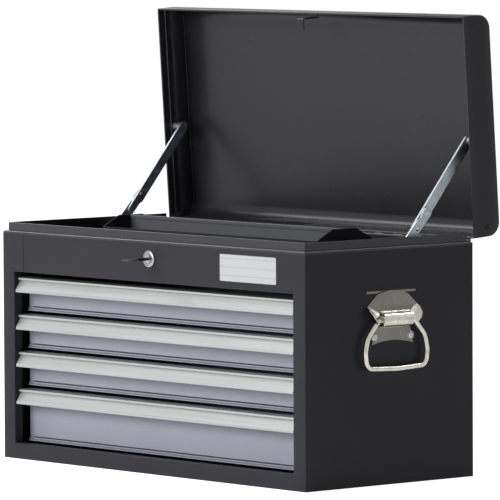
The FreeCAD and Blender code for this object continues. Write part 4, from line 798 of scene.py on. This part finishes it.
def stayArm(start, end, x, notch, tailHalf):
    # Bar as sections along its length: the half width closes in round ends, and one edge is rolled over into
    # a narrow flange, which dips at the thumb notch. The other edge draws in to the tail's half width.
    half, sheet, lip = stay["half"], stay["sheet"], stay["lip"]
    bow = np.linspace(0, np.pi / 2, 9)
    straight = np.linspace(start, end, 60)[1:-1]
    along = np.concatenate([start - half * np.cos(bow), straight, end + half * np.sin(bow)])
    wide = np.concatenate([half * np.sin(bow), np.full(len(straight), half), half * np.cos(bow)])
    wide = np.maximum(wide, 0.05)
    dip = notch * np.exp(-((along - end + stay["notchBefore"]) / stay["notchHalf"]) ** 2)
    outline = np.array([(-1, 0.25), (-1, 0.75), (-0.9, 1), (0.84, 1), (0.86, 1 + lip * 0.9), (0.92, 1 + lip),
                        (1, 1 + lip * 0.8), (1, 0.25), (0.95, 0), (-0.9, 0), (-1, 0.25)])
    grid = np.zeros((len(along), len(outline), 3))
    high = outline[:, 0] > 0
    thick = np.where(wide[:, None] > half * 0.7, outline[:, 1], np.clip(outline[:, 1], 0, 1))
    grid[..., 0] = x + sheet * thick
    grid[..., 1] = along[:, None]
    lowest = np.interp(along, stay["drawnIn"], (-tailHalf, -half))
    grid[..., 2] = np.maximum(wide[:, None] * outline[:, 0] - dip[:, None] * high, lowest[:, None])
    return gridSkin(grid)


def rivetHead(x, reach, centre):
    # Head on an arm: a round dome whose rim is pressed a little below the arm's face.
    bow, radius = np.linspace(0, np.pi / 2, 7), stay["rivetRadius"]
    dome = [(0.0, 0.0), (0.0, radius)]
    dome += [(reach * (0.2 + 0.8 * np.sin(turn)), radius * 0.86 * np.cos(turn)) for turn in bow]
    return turnedRing(dome, (x, *centre), 0, 32)


lowerArm = leaned(stayArm(0, stay["lowerLength"], stay["lowerX"], stay["notchDeep"], stay["half"]),
                  stay["case"], stay["lowerAngle"])
points, faces = stayArm(stay["tailEnd"], stay["upperLength"], 0, 0, stay["tailHalf"])
points = points * np.array([-1, 1, 1]) + np.array([stay["upperX"] + stay["sheet"], 0, 0])
upperArm = leaned((points, faces), stay["elbow"], stay["upperAngle"])
turn = np.radians(stay["lowerAngle"])
stop = (stay["elbow"][0] - stay["stopBefore"] * np.cos(turn),
        stay["elbow"][1] - stay["stopBefore"] * np.sin(turn))
outer, inner, reach = stay["lowerX"] + stay["sheet"], stay["upperX"] - 0.3, stay["rivetReach"]
rivets = [rivetHead(outer, reach, stay["elbow"]), rivetHead(outer, reach, stop),
          rivetHead(inner, -reach, stay["elbow"])]
for side in ("right", "left"):
    putPiece(f"{side}StayLowerArm", onSide(side, [lowerArm]), finishes["zinc"], f"{side}_stay_lower",
             [f"{side}_stay_lower_arm"], sharp=28)
    putPiece(f"{side}StayUpperArm", onSide(side, [upperArm]), finishes["zinc"], f"{side}_stay_upper",
             [f"{side}_stay_upper_arm"], sharp=28)
    putPiece(f"{side}StayRivets", onSide(side, rivets), finishes["lock"], f"{side}_stay_lower",
             [f"{side}_stay_rivets"])
print("stays riveted up")


# Tray

tray = {"inner": 231.0, "middle": 3.5, "low": 272.4, "top": 348.4, "sheet": 1.0, "slotHalf": 55.0,
        "slotLow": 295.4, "slotHigh": 321.4, "hemHalf": 1.5, "hemDeep": 6.0, "hemRadius": 1.45}


def carryingPlate():
    # Plate with a hand slot, hemmed along its top edge by folding the sheet over a round bead.
    middle, half, top = tray["middle"], tray["inner"], tray["top"]
    face = middle - tray["sheet"] / 2
    stations = [-half, -tray["slotHalf"], tray["slotHalf"], half]
    keep = np.array([[1, 1, 1], [1, 0, 1], [1, 1, 1]], bool)
    corners = [(face, tray["low"]), (face, tray["slotLow"]), (face, tray["slotHigh"]), (face, top - 1.0)]
    sheet = foldedSheet(corners, [0, 0], -tray["sheet"], stations, 0, keep)
    hem = roundedLoop(middle - tray["hemHalf"], middle + tray["hemHalf"], top - tray["hemDeep"], top,
                      tray["hemRadius"], 6)
    return [sheet, gridSkin(carried(hem, [-half, half], 0))]


# The carrying plate's paler coat is painted light.
putPiece("trayCarryingPlate", carryingPlate(), finishes["tray"], "tray",
         ["tray_carrying_plate"])
print("tray hemmed")


# Floor, light and camera

def seenDirectly(tree):
    # 1 for what the camera, a reflection or glass shows, and 0 for the light that falls on things.
    path = addNode(tree, "LightPath")
    seen = addNode(tree, "Math", {0: path.outputs["Is Camera Ray"], 1: path.outputs["Is Glossy Ray"]},
                   operation="MAXIMUM")
    seen = addNode(tree, "Math", {0: seen.outputs[0], 1: path.outputs["Is Transmission Ray"]},
                   operation="MAXIMUM")
    return seen.outputs[0]


def stageFloor(lift, half):
    # Pale paper that is lifted to white where it is seen, and only takes a soft shadow.
    finish, tree, place = newFinish("paleStudioFloor")
    tone = addNode(tree, "TexNoise", {"Vector": place, "Scale": 3.0, "Detail": 2.0})
    colour = rampBetween(tree, tone.outputs["Fac"], linear("#F4F4F4"), linear("#FAFAFA"), 0.3, 0.7)
    paper = addNode(tree, "BsdfPrincipled", {"Base Color": colour, "Roughness": 0.9,
                                             "Specular IOR Level": 0.1})
    glow = addNode(tree, "Math", {0: seenDirectly(tree), 1: lift}, operation="MULTIPLY")
    white = addNode(tree, "Emission", {"Color": grey(1.0), "Strength": glow.outputs[0]})
    both = addNode(tree, "AddShader", {0: paper.outputs[0], 1: white.outputs[0]})
    addNode(tree, "OutputMaterial", {"Surface": both.outputs[0]})
    mesh = bpy.data.meshes.new("studioFloor")
    mesh.from_pydata([(-half, -half, 0), (half, -half, 0), (half, half, 0), (-half, half, 0)], [],
                     [(0, 1, 2, 3)])
    mesh.materials.append(finish)
    placed("studioFloor", mesh)


def worldLight(level):
    # White for the camera and in reflections, and a plain soft level for everything it lights.
    world = bpy.data.worlds.new("paleStudio")
    world.use_nodes = True
    tree = world.node_tree
    tree.nodes.clear()
    strength = addNode(tree, "Math", {0: seenDirectly(tree), 1: 1 - level, 2: level},
                       operation="MULTIPLY_ADD")
    sky = addNode(tree, "Background", {"Color": grey(1.0), "Strength": strength.outputs[0]})
    addNode(tree, "OutputWorld", {"Surface": sky.outputs[0]})
    bpy.context.scene.world = world


def softbox(name, place, aim, wide, high, power):
    # A rectangular lamp that faces its aim, with sizes in metres and power in watts.
    lamp = bpy.data.lights.new(name, "AREA")
    lamp.shape, lamp.size, lamp.size_y, lamp.energy = "RECTANGLE", wide, high, power
    holder = placed(name, lamp)
    holder.location = place
    holder.rotation_euler = (Vector(aim) - Vector(place)).to_track_quat("-Z", "Y").to_euler()


view = {"place": (6.40545, -5.50184, 0.87322), "yaw": -0.85837, "pitch": -0.06688, "roll": -0.00452,
        "lens": 430.46}


def photoCamera():
    # Long lens far off to the front right, a little higher than the open lid.
    camera = bpy.data.cameras.new("photoCamera")
    camera.sensor_width, camera.lens, camera.clip_end = 36.0, view["lens"], 60.0
    yaw, pitch, roll = view["yaw"], view["pitch"], view["roll"]
    ahead = Vector((np.sin(yaw) * np.cos(pitch), np.cos(yaw) * np.cos(pitch), np.sin(pitch)))
    level = Vector((np.cos(yaw), -np.sin(yaw), 0))
    upright = level.cross(ahead)
    right = level * np.cos(roll) + upright * np.sin(roll)
    up = upright * np.cos(roll) - level * np.sin(roll)
    turn = Matrix((right, up, -ahead)).transposed().to_4x4()
    holder = placed("photoCamera", camera)
    holder.matrix_world = Matrix.Translation(view["place"]) @ turn
    bpy.context.scene.camera = holder


stageFloor(lift=0.93, half=30.0)
worldLight(level=0.055)
softbox("frontSoftbox", (-1.6, -5.4, 2.2), (0, 0, 0.3), wide=3.6, high=3.2, power=200)
softbox("leftStripLight", (-3.6, -0.3, 3.4), (0, 0, 0.4), wide=3.0, high=1.4, power=80)
softbox("backStripLight", (0.45, 3.0, 3.6), (0, 0, 0.4), wide=1.2, high=1.0, power=46)
photoCamera()
bpy.context.scene.view_settings.view_transform = "Standard"
print("studio lit")
